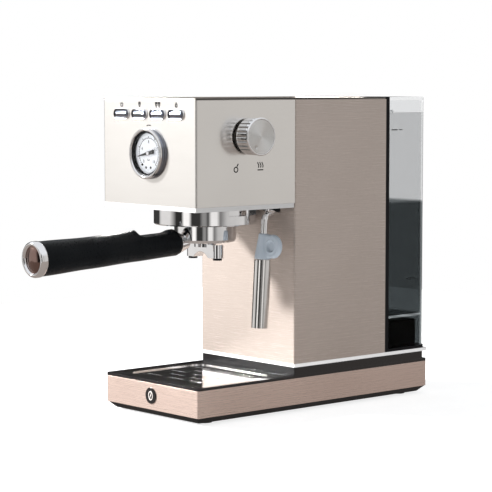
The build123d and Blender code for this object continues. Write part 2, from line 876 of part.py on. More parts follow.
def make_twin_spout():
    high = bowl_bottom
    low = high - spout_drop
    bridge = Pos(0, 0, (low + high - 2) / 2) * Box(2 * spout_spacing, 2 * spout_radius, high - 2 - low)
    arch = Pos(0, 0, low - 7) * Rot(90, 0, 0) * Cylinder(spout_spacing - spout_radius, 4 * spout_radius)
    spout = bridge - arch
    spout += Pos(0, 0, high - 2.5) * Cylinder(11.0, 5.0)
    for side in (-1, 1):
        spout += Pos(side * spout_spacing, 0, (low + high - 2) / 2) * Cylinder(spout_radius, high - 2 - low)
    for side in (-1, 1):
        spout -= Pos(side * spout_spacing, 0, low + 5) * Cylinder(spout_radius - 1.5, 10)
    spout -= Pos(0, 0, high - 3.5) * Cylinder(4.0, 7.0)
    channel = Pos(0, 0, high - 5.5) * Box(2 * spout_spacing, 5.0, 3.0)
    return at_group(spout - channel)


def make_spout_tips():
    height = spout_tip + 4
    middle = bowl_bottom - spout_drop - spout_tip + height / 2
    tip = Cylinder(spout_radius - 1.5, height) - Cylinder(spout_radius - 2.7, height)
    return [at_group(Pos(side * spout_spacing, 0, middle) * tip) for side in (-1, 1)]


def make_portafilter_handle():
    front = handle_front_radius
    back = handle_back_radius
    profile = [
        (0, 0),
        (front - 3.0, 0),
        (front - 0.9, 0.9),
        (front, 3.0),
        (front + 0.2, 25),
        (front + 0.8, 55),
        (back - 1.6, 110),
        (back - 0.2, handle_length - 8),
        (back, handle_length),
        (0, handle_length),
    ]
    handle = turned(profile)
    saddle = Pos(0, front + 29.2 - 3.6, 31) * Rot(0, 90, 0) * Cylinder(29.2, 60)
    handle -= saddle
    ridge = Polyline((0, 44), (front + 1.2, 46.5), (front + 4.2, 51.5), (front + 3.6, 57), (front + 0.6, 86),
                     (0, 86), close=True)
    bump = extrude(make_face(Plane.YZ * ridge), 8.0, both=True)
    limit = Pos(0, 0, 65) * Cylinder(front + 4.3, 60)
    handle += bump & limit
    handle -= Pos(0, 0, tang_length / 2) * Cylinder(tang_radius, tang_length)
    handle += Pos(0, 0, handle_length + 2.5) * Cylinder(cap_radius - 4, 5)
    return handle_frame() * handle


def make_handle_cap():
    low = handle_length
    radius = cap_radius
    profile = [
        (radius - 4, low),
        (radius - 0.6, low),
        (radius, low + 0.8),
        (radius, low + cap_length - 2.5),
        (radius - 2.5, low + cap_length),
        (radius - 4.5, low + cap_length),
        (radius - 5.5, low + cap_length - 1.5),
        (0, low + cap_length - 1.5),
        (0, low + 5),
        (radius - 4, low + 5),
    ]
    return handle_frame() * turned(profile)


# ---- steam wand ----
pivot = Vector(wand_x, wand_y, wand_height)
neck_way = Vector(0, -sin(radians(wand_neck_angle)), -cos(radians(wand_neck_angle)))
elbow = pivot + neck_way * (ball_radius + wand_neck_length)
wand_way = Vector(0, -sin(radians(wand_lean)), -cos(radians(wand_lean)))


def along_wand(height):
    """Point of the straight stretch of the wand at a height above the worktop."""
    return elbow + wand_way * ((elbow.Z - height) / cos(radians(wand_lean)))


def wand_frame(height):
    """Local frame on the wand's axis: +Z points back up the wand, and +X is the machine's right."""
    return Plane(along_wand(height), x_dir=(1, 0, 0), z_dir=-wand_way).location


def make_wand_nut():
    low = wand_height - nut_hold
    nut = upright(wand_x, wand_y, nut_radius, (low, head_bottom_height))
    nut += upright(wand_x, wand_y, nut_shank_radius, (head_bottom_height, nut_top))
    nut -= Pos(*pivot) * Sphere(ball_radius + running_clearance)
    reach = 20.0
    mouth = Pos(0, 0, -reach / 2) * Cone(reach * tan(radians(nut_mouth)), 0.01, reach)
    return nut - Pos(*pivot) * Rot(-nut_tilt, 0, 0) * mouth


def make_wand_ball():
    return Pos(*pivot) * Sphere(ball_radius)


def make_wand_tube():
    start = pivot + neck_way * (ball_radius - 1)
    end = along_wand(sleeve_mouth + nozzle_above_mouth)
    path = FilletPolyline(start, elbow, end, radius=wand_bend)
    section = Plane(path @ 0, z_dir=path % 0)
    tube = sweep(section * Circle(wand_radius), path=path)
    bore = sweep(section * Circle(wand_bore), path=path)
    neck_end = Plane(pivot + neck_way * (ball_radius + 1.8), x_dir=(1, 0, 0), z_dir=neck_way).location
    trimmer = neck_end * (Cylinder(2 * wand_radius + 1, 4) - Cylinder(wand_neck_radius, 4))
    return tube - bore - Pos(*pivot) * Sphere(ball_radius + running_clearance) - trimmer


def make_wand_grip():
    bottom = grip_top - grip_length
    frame = wand_frame(bottom)
    top_radius = wand_radius + grip_top_wall
    taper = Pos(0, 0, grip_length / 2) * Cone(grip_bottom_radius, top_radius, grip_length)
    middle = grip_length - tab_radius - 0.5
    tab_outline = Plane.XZ * Pos(tab_reach - tab_radius, middle) * Circle(tab_radius)
    tab = extrude(tab_outline, tab_thickness / 2, both=True)
    tab_x = tab_reach - tab_radius
    web = Pos(tab_x / 2, 0, middle) * Box(tab_x, tab_thickness, 2 * tab_radius)
    grip = taper + tab + web
    dimple_y = 0.75 - tab_thickness / 2
    grip -= Pos(tab_x - 1.5, dimple_y, middle) * Rot(90, 0, 0) * Cylinder(5.2, 1.5)
    grip -= Pos(0, 0, grip_length / 2) * Cylinder(wand_radius, grip_length + 10)
    return frame * grip


def make_frother_sleeve():
    frame = wand_frame(sleeve_mouth)
    sleeve = Pos(0, 0, sleeve_length / 2) * Cylinder(sleeve_radius, sleeve_length)
    room = sleeve_length - sleeve_cap
    sleeve -= Pos(0, 0, room / 2) * Cylinder(sleeve_radius - sleeve_wall, room)
    sleeve -= Pos(0, 0, sleeve_length / 2) * Cylinder(wand_radius + running_clearance, sleeve_length)
    return frame * sleeve


# ---- water tank ----
def tank_outline(half, front, back, corner, z):
    """Slab whose two rear corners are rounded and whose front ones are nearly square."""
    full = slab(half, (front, back), z, corner)
    return full + block((-half, half), (front, back - 2 * corner), z)


def make_tank():
    half = half_width
    tank = tank_outline(half, tank_front, tank_back, tank_corner, (tank_skirt_bottom, tank_rim_height))
    wall = tank_wall
    room = (half - wall, tank_front + wall, tank_back - wall, tank_corner - wall)
    floor_top = tank_floor_height + tank_floor_thickness
    tank -= tank_outline(*room, (floor_top, tank_rim_height))
    tank -= tank_outline(*room, (tank_skirt_bottom, tank_floor_height))
    tank -= upright(0, valve_y, valve_radius, (tank_floor_height, floor_top))
    for side in (-1, 1):
        x = sorted((side * (hinge_half / 2 + 0.4), side * hinge_half))
        reach = (hinge_y - 3, hinge_y + 3)
        tank += crosswise(hinge_y, hinge_z, hinge_radius, x) & block(x, reach, (hinge_z - 9, hinge_z + 3))
        tank += block(x, (tank_back - 1, hinge_y), (hinge_z - hinge_radius, tank_rim_height))
        tank -= crosswise(hinge_y, hinge_z, hinge_pin_radius + running_clearance, x)
    knuckle = (-hinge_half / 2 - lid_gap, hinge_half / 2 + lid_gap)
    tank -= crosswise(hinge_y, hinge_z, hinge_radius + lid_gap, knuckle)
    hose_slot = (tank_skirt_bottom, tank_floor_height - 2)
    return tank - block((12 - half, half - 12), (tank_front, tank_front + wall), hose_slot)


def make_tank_lid():
    low = tank_rim_height + lid_gap
    half = half_width
    back = tank_back
    lid = tank_outline(half, tank_front, back, tank_corner, (low, body_height))
    cut = lid_chamfer
    low_cut = body_height - cut * 1.2
    wedge = Polyline((back - cut, body_height + 1), (back - cut, body_height), (back, low_cut),
                     (back + 1, low_cut), (back + 1, body_height + 1), close=True)
    lid -= extrude(make_face(Plane.YZ * wedge), half_width + 1, both=True)
    wall = lid_wall
    room = (half - wall, tank_front + wall, back - wall - 1, tank_corner - wall)
    lid -= tank_outline(*room, (low, body_height - 2 * wall))
    x = (-hinge_half / 2, hinge_half / 2)
    for side in (-1, 1):
        span = sorted((side * (hinge_half / 2 + 0.2), side * hinge_half))
        lid -= block(span, (hinge_y - hinge_radius - 0.4, hinge_y + 3), (low, hinge_z + hinge_radius + 0.4))
    knuckle_room = block(x, (back + 0.1, hinge_y + 3), (low - 3, low + 3))
    lid += crosswise(hinge_y, hinge_z, hinge_radius, x) & knuckle_room
    lid += block(x, (back - 1, hinge_y), (low, hinge_z + hinge_radius))
    return lid + crosswise(hinge_y, hinge_z, hinge_pin_radius, (-hinge_half, hinge_half))


def make_tank_valve():
    low = tank_floor_height - valve_drop
    high = tank_floor_height + tank_floor_thickness
    body = upright(0, valve_y, valve_radius, (low, high))
    body += upright(0, valve_y, valve_radius + 3, (high, high + 2))
    body += upright(0, valve_y, valve_radius + 3, (tank_floor_height - 1.5, tank_floor_height))
    body -= upright(0, valve_y, valve_radius - 3, (low, high + 2))
    body += block((-valve_radius + 1, valve_radius - 1), (valve_y - 1, valve_y + 1), (low + 4, low + 5.5))
    return body - upright(0, valve_y, plunger_radius + running_clearance, (low, high))


def make_valve_plunger():
    low = tank_floor_height - valve_drop + 1
    seat = tank_floor_height + tank_floor_thickness + 2.5
    stem = upright(0, valve_y, plunger_radius, (low, seat + 1))
    return stem + upright(0, valve_y, valve_radius - 1.5, (seat, seat + 2))


def make_tank_pedestal():
    ledge_top = trim_top + pedestal_ledge
    front = rear_cover_back
    pedestal = tank_outline(half_width, front, trim_back, tank_corner, (trim_top, ledge_top))
    inset = pedestal_inset
    block_half = half_width - inset
    rise = tank_outline(block_half, front + 3, tank_back - inset, 6.0, (ledge_top, pedestal_height))
    top_edges = rise.edges().group_by(Axis.Z)[-1]
    pedestal += fillet(top_edges, 3.0)
    wall = 2.5
    room = (block_half - wall, front + 3 + wall, tank_back - inset - wall, 4.0)
    pedestal -= tank_outline(*room, (trim_top, pedestal_height - 14))
    socket = valve_radius + 0.6
    pedestal -= upright(0, valve_y, socket, (pedestal_height - 8, pedestal_height))
    pedestal += upright(0, valve_y, 2.0, (pedestal_height - 8, tank_floor_height - valve_drop + 1))
    pedestal -= lengthwise(hose_x, hose_z, hose_radius, (front, front + 3 + wall + 1))
    return pedestal


# ---- machinery inside ----
def make_boiler():
    width = boiler_size[0]
    depth = (boiler_front, boiler_front + boiler_size[1])
    boiler = block((-width / 2, width / 2), depth, (boiler_base, boiler_top))
    boiler = fillet(boiler.edges().filter_by(Axis.Z), 6.0)
    for place in range(5):
        x = (place - 2) * 16.0
        groove_y = (boiler_front - 1, boiler_front + 20)
        boiler -= block((x - 1.5, x + 1.5), groove_y, (boiler_top - 5, boiler_top))
    return boiler


def make_thermostats():
    discs = []
    for x in (-12.0, 12.0):
        disc = upright(x, boiler_front + 34, 8.0, (boiler_top, boiler_top + 4))
        discs.append(disc + upright(x, boiler_front + 34, 5.0, (boiler_top + 4, boiler_top + 8)))
    return discs


def make_solenoid_valve():
    side = -boiler_size[0] / 2
    mid = boiler_front + 35
    body = block((side - 20, side - 2), (mid - 14, mid + 14), (boiler_base + 4, boiler_base + 38))
    return body + crosswise(mid, boiler_base + 20, 5.0, (side - 2, side))


def make_pump():
    pump = upright(pump_offset, pump_y, pump_radius, (pump_low, pump_top))
    pump += upright(pump_offset, pump_y, 6.0, (pump_low - pump_port, pump_low))
    return pump + upright(pump_offset, pump_y, 7.0, (pump_top, pump_top + pump_port + 2))


def make_pump_mounts():
    plate_y = pump_y + pump_radius + 5
    mounts = []
    for z in (pump_low + 8, pump_top - 18):
        mount = block((pump_offset - 30, pump_offset + 30), (pump_y - pump_radius - 5, plate_y), (z, z + 10))
        mounts.append(mount - upright(pump_offset, pump_y, pump_radius, (z, z + 10)))
    return mounts


def make_pump_bracket():
    plate_y = pump_y + pump_radius + 5
    x = (pump_offset - 32, pump_offset + 32)
    plate = block(x, (plate_y, plate_y + 2), (plinth_top, pump_top))
    return plate + block(x, (plate_y - 40, plate_y), (plinth_top, plinth_top + 2))


def make_suction_hose():
    points = [
        (hose_x, rear_cover_back + 5, hose_z),
        (hose_x, pump_y, hose_z),
        (pump_offset, pump_y, hose_z),
        (pump_offset, pump_y, pump_low - pump_port),
    ]
    return tube_along(points, 2 * hose_radius, hose_radius)


def make_brew_pipe():
    inlet_y = boiler_front + boiler_size[1] - 15
    crest = boiler_top + 14
    points = [
        (pump_offset, pump_y, pump_top + pump_port + 2),
        (pump_offset, pump_y, crest),
        (pump_offset, inlet_y, crest),
        (pump_offset, inlet_y, boiler_top),
    ]
    return tube_along(points, 4 * pipe_radius, pipe_radius)


def make_steam_pipes():
    """One pipe from the valve down to the wand, and one from the boiler up to the valve."""
    valve_x = half_width - valve_setback - valve_depth / 2
    drop = [
        (valve_x, knob_y, knob_height - valve_block / 2),
        (valve_x, knob_y, nut_top + 22),
        (wand_x, wand_y, nut_top + 14),
        (wand_x, wand_y, nut_top),
    ]
    outlet_x = boiler_size[0] / 2 - 13
    feed = [
        (outlet_x, knob_y, boiler_top),
        (outlet_x, knob_y, knob_height + 2),
        (half_width - valve_setback - valve_depth, knob_y, knob_height + 2),
    ]
    return [tube_along(drop, 6.0, pipe_radius), tube_along(feed, 5.0, pipe_radius)]


pieces = {
    "base_pan": make_base_pan,
    "rubber_feet": make_rubber_feet,
    "base_band": make_base_band,
    "base_deck": make_base_deck,
    "badge": make_badge,
    "drip_tray": make_drip_tray,
    "drip_tray_cover": make_drip_tray_cover,
    "plinth": make_plinth,
    "trim_strip": make_trim_strip,
    "cord_gland": make_cord_gland,
    "column_shell": make_column_shell,
    "rear_cover": make_rear_cover,
    "case_screws": make_case_screws,
    "head_shell": make_head_shell,
    "head_bottom": make_head_bottom,
    "top_plate": make_top_plate,
    "button_surrounds": make_button_surrounds,
    "power_button": lambda: make_button(button_places[0]),
    "single_cup_button": lambda: make_button(button_places[1]),
    "double_cup_button": lambda: make_button(button_places[2]),
    "steam_button": lambda: make_button(button_places[3]),
    "control_board": make_control_board,
    "gauge_case": make_gauge_case,
    "gauge_movement": make_gauge_movement,
    "gauge_dial": make_gauge_dial,
    "gauge_needle": make_gauge_needle,
    "gauge_glass": make_gauge_glass,
    "steam_knob": make_steam_knob,
    "knob_disc": make_knob_disc,
    "valve_spindle": make_valve_spindle,
    "steam_valve": make_steam_valve,
    "group_collar": make_group_collar,
    "group_head": make_group_head,
    "group_gasket": make_group_gasket,
    "shower_screen": make_shower_screen,
    "portafilter_body": make_portafilter_body,
    "filter_basket": make_filter_basket,
    "twin_spout": make_twin_spout,
    "spout_tips": make_spout_tips,
    "portafilter_handle": make_portafilter_handle,
    "handle_cap": make_handle_cap,
    "wand_nut": make_wand_nut,
    "wand_ball": make_wand_ball,
    "wand_tube": make_wand_tube,
    "wand_grip": make_wand_grip,
    "frother_sleeve": make_frother_sleeve,
    "tank": make_tank,
    "tank_lid": make_tank_lid,
    "tank_valve": make_tank_valve,
    "valve_plunger": make_valve_plunger,
    "tank_pedestal": make_tank_pedestal,
    "boiler": make_boiler,
    "thermostats": make_thermostats,
    "solenoid_valve": make_solenoid_valve,
    "pump": make_pump,
    "pump_mounts": make_pump_mounts,
    "pump_bracket": make_pump_bracket,
    "suction_hose": make_suction_hose,
    "brew_pipe": make_brew_pipe,
    "steam_pipes": make_steam_pipes,
}

os.makedirs("parts", exist_ok=True)
for name, make in pieces.items():
    solid = make()
    if isinstance(solid, list):
        solid = Compound(children=solid)
    export_step(solid, f"parts/{name}.step")
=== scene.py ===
import math

import bmesh
import bpy
from mathutils import Matrix, Vector


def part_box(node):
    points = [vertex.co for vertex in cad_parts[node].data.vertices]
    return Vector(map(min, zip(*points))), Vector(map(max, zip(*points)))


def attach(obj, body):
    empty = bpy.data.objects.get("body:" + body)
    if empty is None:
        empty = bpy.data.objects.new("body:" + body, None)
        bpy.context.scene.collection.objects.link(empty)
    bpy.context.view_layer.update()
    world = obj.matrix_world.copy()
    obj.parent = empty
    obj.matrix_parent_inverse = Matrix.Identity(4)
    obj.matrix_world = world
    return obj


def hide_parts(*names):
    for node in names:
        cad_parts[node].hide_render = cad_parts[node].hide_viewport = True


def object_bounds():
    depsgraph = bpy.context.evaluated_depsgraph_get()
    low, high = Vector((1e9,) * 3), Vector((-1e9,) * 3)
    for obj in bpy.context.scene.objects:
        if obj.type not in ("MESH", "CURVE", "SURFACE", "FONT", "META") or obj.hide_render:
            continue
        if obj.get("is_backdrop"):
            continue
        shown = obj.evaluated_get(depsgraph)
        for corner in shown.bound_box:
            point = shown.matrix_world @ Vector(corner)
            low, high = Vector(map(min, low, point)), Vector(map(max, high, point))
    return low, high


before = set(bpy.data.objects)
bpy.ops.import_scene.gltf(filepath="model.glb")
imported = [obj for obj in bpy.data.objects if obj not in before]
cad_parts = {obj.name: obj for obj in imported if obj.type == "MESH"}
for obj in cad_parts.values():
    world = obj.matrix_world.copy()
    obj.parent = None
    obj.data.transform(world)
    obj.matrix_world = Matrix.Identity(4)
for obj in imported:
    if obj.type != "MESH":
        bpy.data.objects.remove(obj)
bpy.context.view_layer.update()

# ---- base pan and feet ----
# The pan is the machine's floor: one black ABS moulding with a fine spark-eroded grain.
# Four rubber feet are pressed into pockets in its underside.


def new_finish(name, colour, metallic, roughness, shine=0.5):
    """A Principled material with its plain numbers set, ready for its grain."""
    finish = bpy.data.materials.new(name)
    finish.use_nodes = True
    shader = finish.node_tree.nodes["Principled BSDF"]
    shader.inputs["Base Color"].default_value = (*colour, 1.0)
    shader.inputs["Metallic"].default_value = metallic
    shader.inputs["Roughness"].default_value = roughness
    shader.inputs["Specular IOR Level"].default_value = shine
    return finish, finish.node_tree, shader


def grain_texture(tree, size, stretch=(1.0, 1.0, 1.0), detail=4.0):
    """Noise in the piece's own space; size is the width of one fleck in metres."""
    place = tree.nodes.new("ShaderNodeTexCoord")
    mapping = tree.nodes.new("ShaderNodeMapping")
    mapping.inputs["Scale"].default_value = [1.0 / s for s in stretch]
    noise = tree.nodes.new("ShaderNodeTexNoise")
    noise.inputs["Scale"].default_value = 0.5 / size
    noise.inputs["Detail"].default_value = detail
    tree.links.new(place.outputs["Object"], mapping.inputs["Vector"])
    tree.links.new(mapping.outputs["Vector"], noise.inputs["Vector"])
    return noise.outputs["Fac"]


def spread(tree, value, low, high):
    """Maps the middle half of a 0 to 1 value, where noise mostly lies, on to low to high."""
    node = tree.nodes.new("ShaderNodeMapRange")
    node.inputs["From Min"].default_value = 0.25
    node.inputs["From Max"].default_value = 0.75
    node.inputs["To Min"].default_value = low
    node.inputs["To Max"].default_value = high
    tree.links.new(value, node.inputs["Value"])
    return node.outputs["Result"]


def tint(tree, value, dark, light):
    """Colour that runs from dark to light with a 0 to 1 value."""
    ramp = tree.nodes.new("ShaderNodeValToRGB")
    ramp.color_ramp.elements[0].position = 0.3
    ramp.color_ramp.elements[0].color = (*dark, 1.0)
    ramp.color_ramp.elements[1].position = 0.7
    ramp.color_ramp.elements[1].color = (*light, 1.0)
    tree.links.new(value, ramp.inputs["Fac"])
    return ramp.outputs["Color"]


def relief(tree, shader, value, depth, edge=0.0003):
    """Bump of that depth in metres over softened edges."""
    soft = tree.nodes.new("ShaderNodeBevel")
    soft.samples = 4
    soft.inputs["Radius"].default_value = edge
    bump = tree.nodes.new("ShaderNodeBump")
    bump.inputs["Distance"].default_value = depth
    tree.links.new(value, bump.inputs["Height"])
    tree.links.new(soft.outputs["Normal"], bump.inputs["Normal"])
    tree.links.new(bump.outputs["Normal"], shader.inputs["Normal"])


def moulded_plastic(name, dark, light, roughness, fleck=0.0006, depth=0.00004, shine=0.5):
    """Injection-moulded plastic: a fine grain, with the sheen a little uneven."""
    finish, tree, shader = new_finish(name, light, 0.0, roughness, shine)
    fine = grain_texture(tree, fleck)
    broad = grain_texture(tree, 0.02, detail=2.0)
    tree.links.new(tint(tree, broad, dark, light), shader.inputs["Base Color"])
    tree.links.new(spread(tree, fine, roughness - 0.06, roughness + 0.06), shader.inputs["Roughness"])
    relief(tree, shader, fine, depth)
    return finish


def dress(finish, *names):
    """Gives CAD nodes their finish."""
    for name in names:
        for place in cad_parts[name].material_slots:
            place.material = finish


satin_black = moulded_plastic("satin_black_abs", (0.003, 0.003, 0.004), (0.007, 0.007, 0.008), 0.42,
                              shine=0.1)
foot_rubber = moulded_plastic("foot_rubber", (0.008, 0.008, 0.008), (0.014, 0.014, 0.014), 0.75, 0.0004,
                              shine=0.2)
dress(satin_black, "base_pan")
dress(foot_rubber, "rubber_feet")

# ---- base band ----
# A loop of 1 mm stainless sheet wrapped round the pan, brushed along its length and lacquered.
# A round black badge is stuck to the middle of its front.


def brushed_steel(name, dark, light, roughness, metal=1.0, uneven=0.03, lines=(0.03, 0.03, 0.0002)):
    """Stainless sheet with fine polishing lines; lines gives their length and width along X, Y and Z."""
    finish, tree, shader = new_finish(name, light, metal, roughness)
    shader.inputs["Anisotropic"].default_value = 0.55
    shader.inputs["Anisotropic Rotation"].default_value = 0.25
    streaks = grain_texture(tree, 0.5, stretch=lines, detail=3.0)
    cloud = grain_texture(tree, 0.06, detail=2.0)
    mix = tree.nodes.new("ShaderNodeMix")
    mix.inputs["Factor"].default_value = 0.35
    tree.links.new(cloud, mix.inputs[2])
    tree.links.new(streaks, mix.inputs[3])
    tree.links.new(tint(tree, mix.outputs[0], dark, light), shader.inputs["Base Color"])
    tree.links.new(spread(tree, streaks, roughness - uneven, roughness + uneven), shader.inputs["Roughness"])
    relief(tree, shader, streaks, 0.000002)
    return finish


# The band is the same stainless as the head, given a darker, warmer tone: painted shade.
band_steel_painted_shade = brushed_steel("brushed_band_steel", (0.55, 0.43, 0.375), (0.62, 0.49, 0.43), 0.28, metal=0.7)
dress(band_steel_painted_shade, "base_band")


def make_piece(name, shape, finish, body, crease=35.0):
    """Mesh piece from (vertices, faces) that rides on a body of the machine."""
    mesh = bpy.data.meshes.new(name)
    mesh.from_pydata([tuple(point) for point in shape[0]], [], shape[1])
    tidy = bmesh.new()
    tidy.from_mesh(mesh)
    bmesh.ops.recalc_face_normals(tidy, faces=tidy.faces)
    tidy.to_mesh(mesh)
    tidy.free()
    mesh.materials.append(finish)
    mesh.shade_smooth()
    mesh.set_sharp_from_angle(angle=math.radians(crease))
    piece = bpy.data.objects.new(name, mesh)
    bpy.context.scene.collection.objects.link(piece)
    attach(piece, body)
    return piece


def joined(*shapes):
    """Several (vertices, faces) shapes as one."""
    points, faces = [], []
    for shape in shapes:
        first = len(points)
        points += [Vector(point) for point in shape[0]]
        faces += [tuple(corner + first for corner in face) for face in shape[1]]
    return points, faces


def placed(matrix, shape):
    """The shape moved to its place on the machine."""
    return [matrix @ Vector(point) for point in shape[0]], shape[1]


def stroke(points, width, thick, closed=False):
    """A flat line of that width along (x, y) points, raised from z = 0."""
    count = len(points)
    corners, faces = [], []
    for place, (x, y) in enumerate(points):
        before = points[place - 1] if closed or place > 0 else points[place]
        after = points[(place + 1) % count] if closed or place < count - 1 else points[place]
        way = Vector((after[0] - before[0], after[1] - before[1])).normalized()
        side = Vector((-way.y, way.x)) * width / 2
        for z in (0.0, thick):
            corners.append((x + side.x, y + side.y, z))
            corners.append((x - side.x, y - side.y, z))
    for place in range(count if closed else count - 1):
        a = 4 * place
        b = 4 * ((place + 1) % count)
        faces += [
            (a + 2, b + 2, b + 3, a + 3), (a + 1, b + 1, b, a),
            (a, b, b + 2, a + 2), (a + 3, b + 3, b + 1, a + 1),
        ]
    if not closed:
        end = 4 * (count - 1)
        faces += [(0, 2, 3, 1), (end, end + 1, end + 3, end + 2)]
    return corners, faces


def oval(across, up, steps=40, start=0.0, sweep=360.0, middle=(0.0, 0.0)):
    """Points of an ellipse, or of part of one."""
    last = steps if sweep < 360.0 else steps - 1
    angles = [math.radians(start + sweep * step / steps) for step in range(last + 1)]
    return [(middle[0] + across * math.cos(angle), middle[1] + up * math.sin(angle)) for angle in angles]


def front_frame(x, y, z):
    """Place on the front of the machine: local X to the right, Y up and Z towards the user."""
    return Matrix.Translation((x, y, z)) @ Matrix.Rotation(math.radians(90), 4, "X")


badge_low, badge_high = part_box("badge")
badge_middle = (badge_low + badge_high) / 2
badge_line = 0.0006
badge_print = 0.00012
bean_across, bean_up = 0.0030, 0.0043
bean_crease = [(0.0010 * math.sin(2.6 * step), 0.0038 * step) for step in [k / 8 for k in range(-8, 9)]]
badge_mark = joined(
    stroke(oval(bean_across, bean_up), badge_line, badge_print, True),
    stroke(bean_crease, badge_line, badge_print),
)
badge_white = moulded_plastic("badge_print", (0.72, 0.66, 0.62), (0.82, 0.76, 0.72), 0.4)
badge_place = front_frame(badge_middle.x, badge_low.y, badge_middle.z)
make_piece("badge_mark", placed(badge_place, badge_mark), badge_white, "machine")

# ---- deck, drip tray and cover ----
# The deck is a gloss black frame that closes the base. The tray drops into it, and a pressed
# mirror-steel cover with short slots lies in the tray.


def gloss_plastic(name, colour, roughness=0.08):
    """High-gloss moulding with faint waviness in its surface."""
    finish, tree, shader = new_finish(name, colour, 0.0, roughness)
    shader.inputs["Coat Weight"].default_value = 0.4
    shader.inputs["Coat Roughness"].default_value = 0.03
    wave = grain_texture(tree, 0.012, detail=1.0)
    tree.links.new(spread(tree, wave, roughness, roughness + 0.05), shader.inputs["Roughness"])
    relief(tree, shader, wave, 0.00002)
    return finish


def mirror_metal(name, dark, light, roughness=0.05):
    """Polished metal: near-mirror, with a slight unevenness from the buffing wheel."""
    finish, tree, shader = new_finish(name, light, 1.0, roughness)
    buff = grain_texture(tree, 0.01, detail=2.0)
    tree.links.new(tint(tree, buff, dark, light), shader.inputs["Base Color"])
    tree.links.new(spread(tree, buff, roughness - 0.02, roughness + 0.03), shader.inputs["Roughness"])
    relief(tree, shader, buff, 0.00001)
    return finish


gloss_black = gloss_plastic("gloss_black_abs", (0.004, 0.004, 0.005))
chrome = mirror_metal("mirror_chrome", (0.78, 0.78, 0.79), (0.88, 0.88, 0.89))
polished_steel = mirror_metal("polished_steel", (0.70, 0.69, 0.68), (0.80, 0.79, 0.78), 0.09)
dress(gloss_black, "base_deck", "plinth", "badge")
dress(satin_black, "drip_tray")
dress(polished_steel, "drip_tray_cover")

# ---- plinth trim ----
# A thin strip, lacquered white, that shows all round between the black plinth and the steel
# column. It is held in the joint between the two.
trim_white = gloss_plastic("white_trim_lacquer", (0.88, 0.87, 0.86), 0.2)
dress(trim_white, "trim_strip")

# ---- cord gland ----
# A soft rubber bushing in the back of the base, where the mains cord would come out. The cord
# itself isn't made.
dress(foot_rubber, "cord_gland")

# ---- column ----
# A folded stainless wrap makes the column's front and sides. Its back is a flat black cover held
# by countersunk screws.
# The column is the same stainless as the head, given a darker tone: painted shade.
column_steel_painted_shade = brushed_steel("brushed_column_steel", (0.39, 0.33, 0.29), (0.44, 0.375, 0.335), 0.26,
                             metal=0.4)
screw_zinc = mirror_metal("zinc_plated_screws", (0.45, 0.45, 0.45), (0.6, 0.6, 0.6), 0.3)
dress(column_steel_painted_shade, "column_shell")
dress(satin_black, "rear_cover")
dress(screw_zinc, "case_screws")

# ---- head ----
# The head is a second folded wrap with the buttons, gauge and knob let into it. A pale trim closes
# it below. A pressed steel plate for warming cups lies on top; the dark strip round it is painted shade
# at the seam. The marks of the buttons and gauge are printed on the front.
# The head's stainless is given a lighter tone than the column, band and top: painted light.
head_steel_painted_light = brushed_steel("brushed_head_steel", (0.72, 0.70, 0.675), (0.79, 0.77, 0.745), 0.20, uneven=0.01)
# The head's trim is given a grey tone, darker than the white plinth trim: painted shade.
head_trim_painted_shade = gloss_plastic("head_trim_painted_shade", (0.50, 0.49, 0.48), 0.3)
dress(head_steel_painted_light, "head_shell")
# The top plate is the same stainless, given a darker tone: painted shade.
top_steel_painted_shade = brushed_steel("brushed_top_steel", (0.34, 0.31, 0.285), (0.42, 0.39, 0.36), 0.3)
dress(top_steel_painted_shade, "top_plate")
dress(head_trim_painted_shade, "head_bottom")

head_low, head_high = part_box("head_shell")
top_low, top_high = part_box("top_plate")
column_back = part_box("column_shell")[1].y
# A strip of the feet's black rubber along the top plate's edge: painted shade at the seam.
seam_width, seam_height = 0.0012, 0.0011
seam_drop = 0.0013
proud = 0.00008
seam_in = seam_width / 2 - proud
seam_left = head_low.x + seam_in
seam_right = max(head_high.x, top_high.x) - seam_in
seam_front = min(head_low.y, top_low.y) + seam_in
seam_corners = [(seam_left, seam_front), (seam_right, seam_front),
                (seam_right, column_back), (seam_left, column_back)]
seam_shade_line = stroke(seam_corners, seam_width, seam_height, True)
seam_place = Matrix.Translation((0, 0, top_high.z - seam_drop))
make_piece("top_seam_painted_shade", placed(seam_place, seam_shade_line), foot_rubber, "machine")

print_grey = moulded_plastic("printed_marks", (0.006, 0.006, 0.006), (0.012, 0.012, 0.012), 0.5, shine=0.1)
print_thick = 0.00008
line = 0.0011
drop_belly = oval(0.0014, 0.0014, 14, 170.0, 200.0, (0.0, -0.0004))
drop_sides = [(0.0, 0.0026), (-0.0009, 0.0008), *drop_belly, (0.0009, 0.0008)]


def cup_mark(x):
    """Small cup on a stem."""
    bowl = [(x - 0.0015, 0.0022), (x - 0.0012, -0.0002), (x, -0.0010),
            (x + 0.0012, -0.0002), (x + 0.0015, 0.0022)]
    rim = stroke([(x - 0.0015, 0.0019), (x + 0.0015, 0.0019)], 2.2 * line, print_thick)
    foot = stroke([(x - 0.0008, -0.0024), (x + 0.0008, -0.0024)], line, print_thick)
    stem = stroke([(x, -0.0010), (x, -0.0024)], line, print_thick)
    return joined(stroke(bowl, line, print_thick), rim, stem, foot)


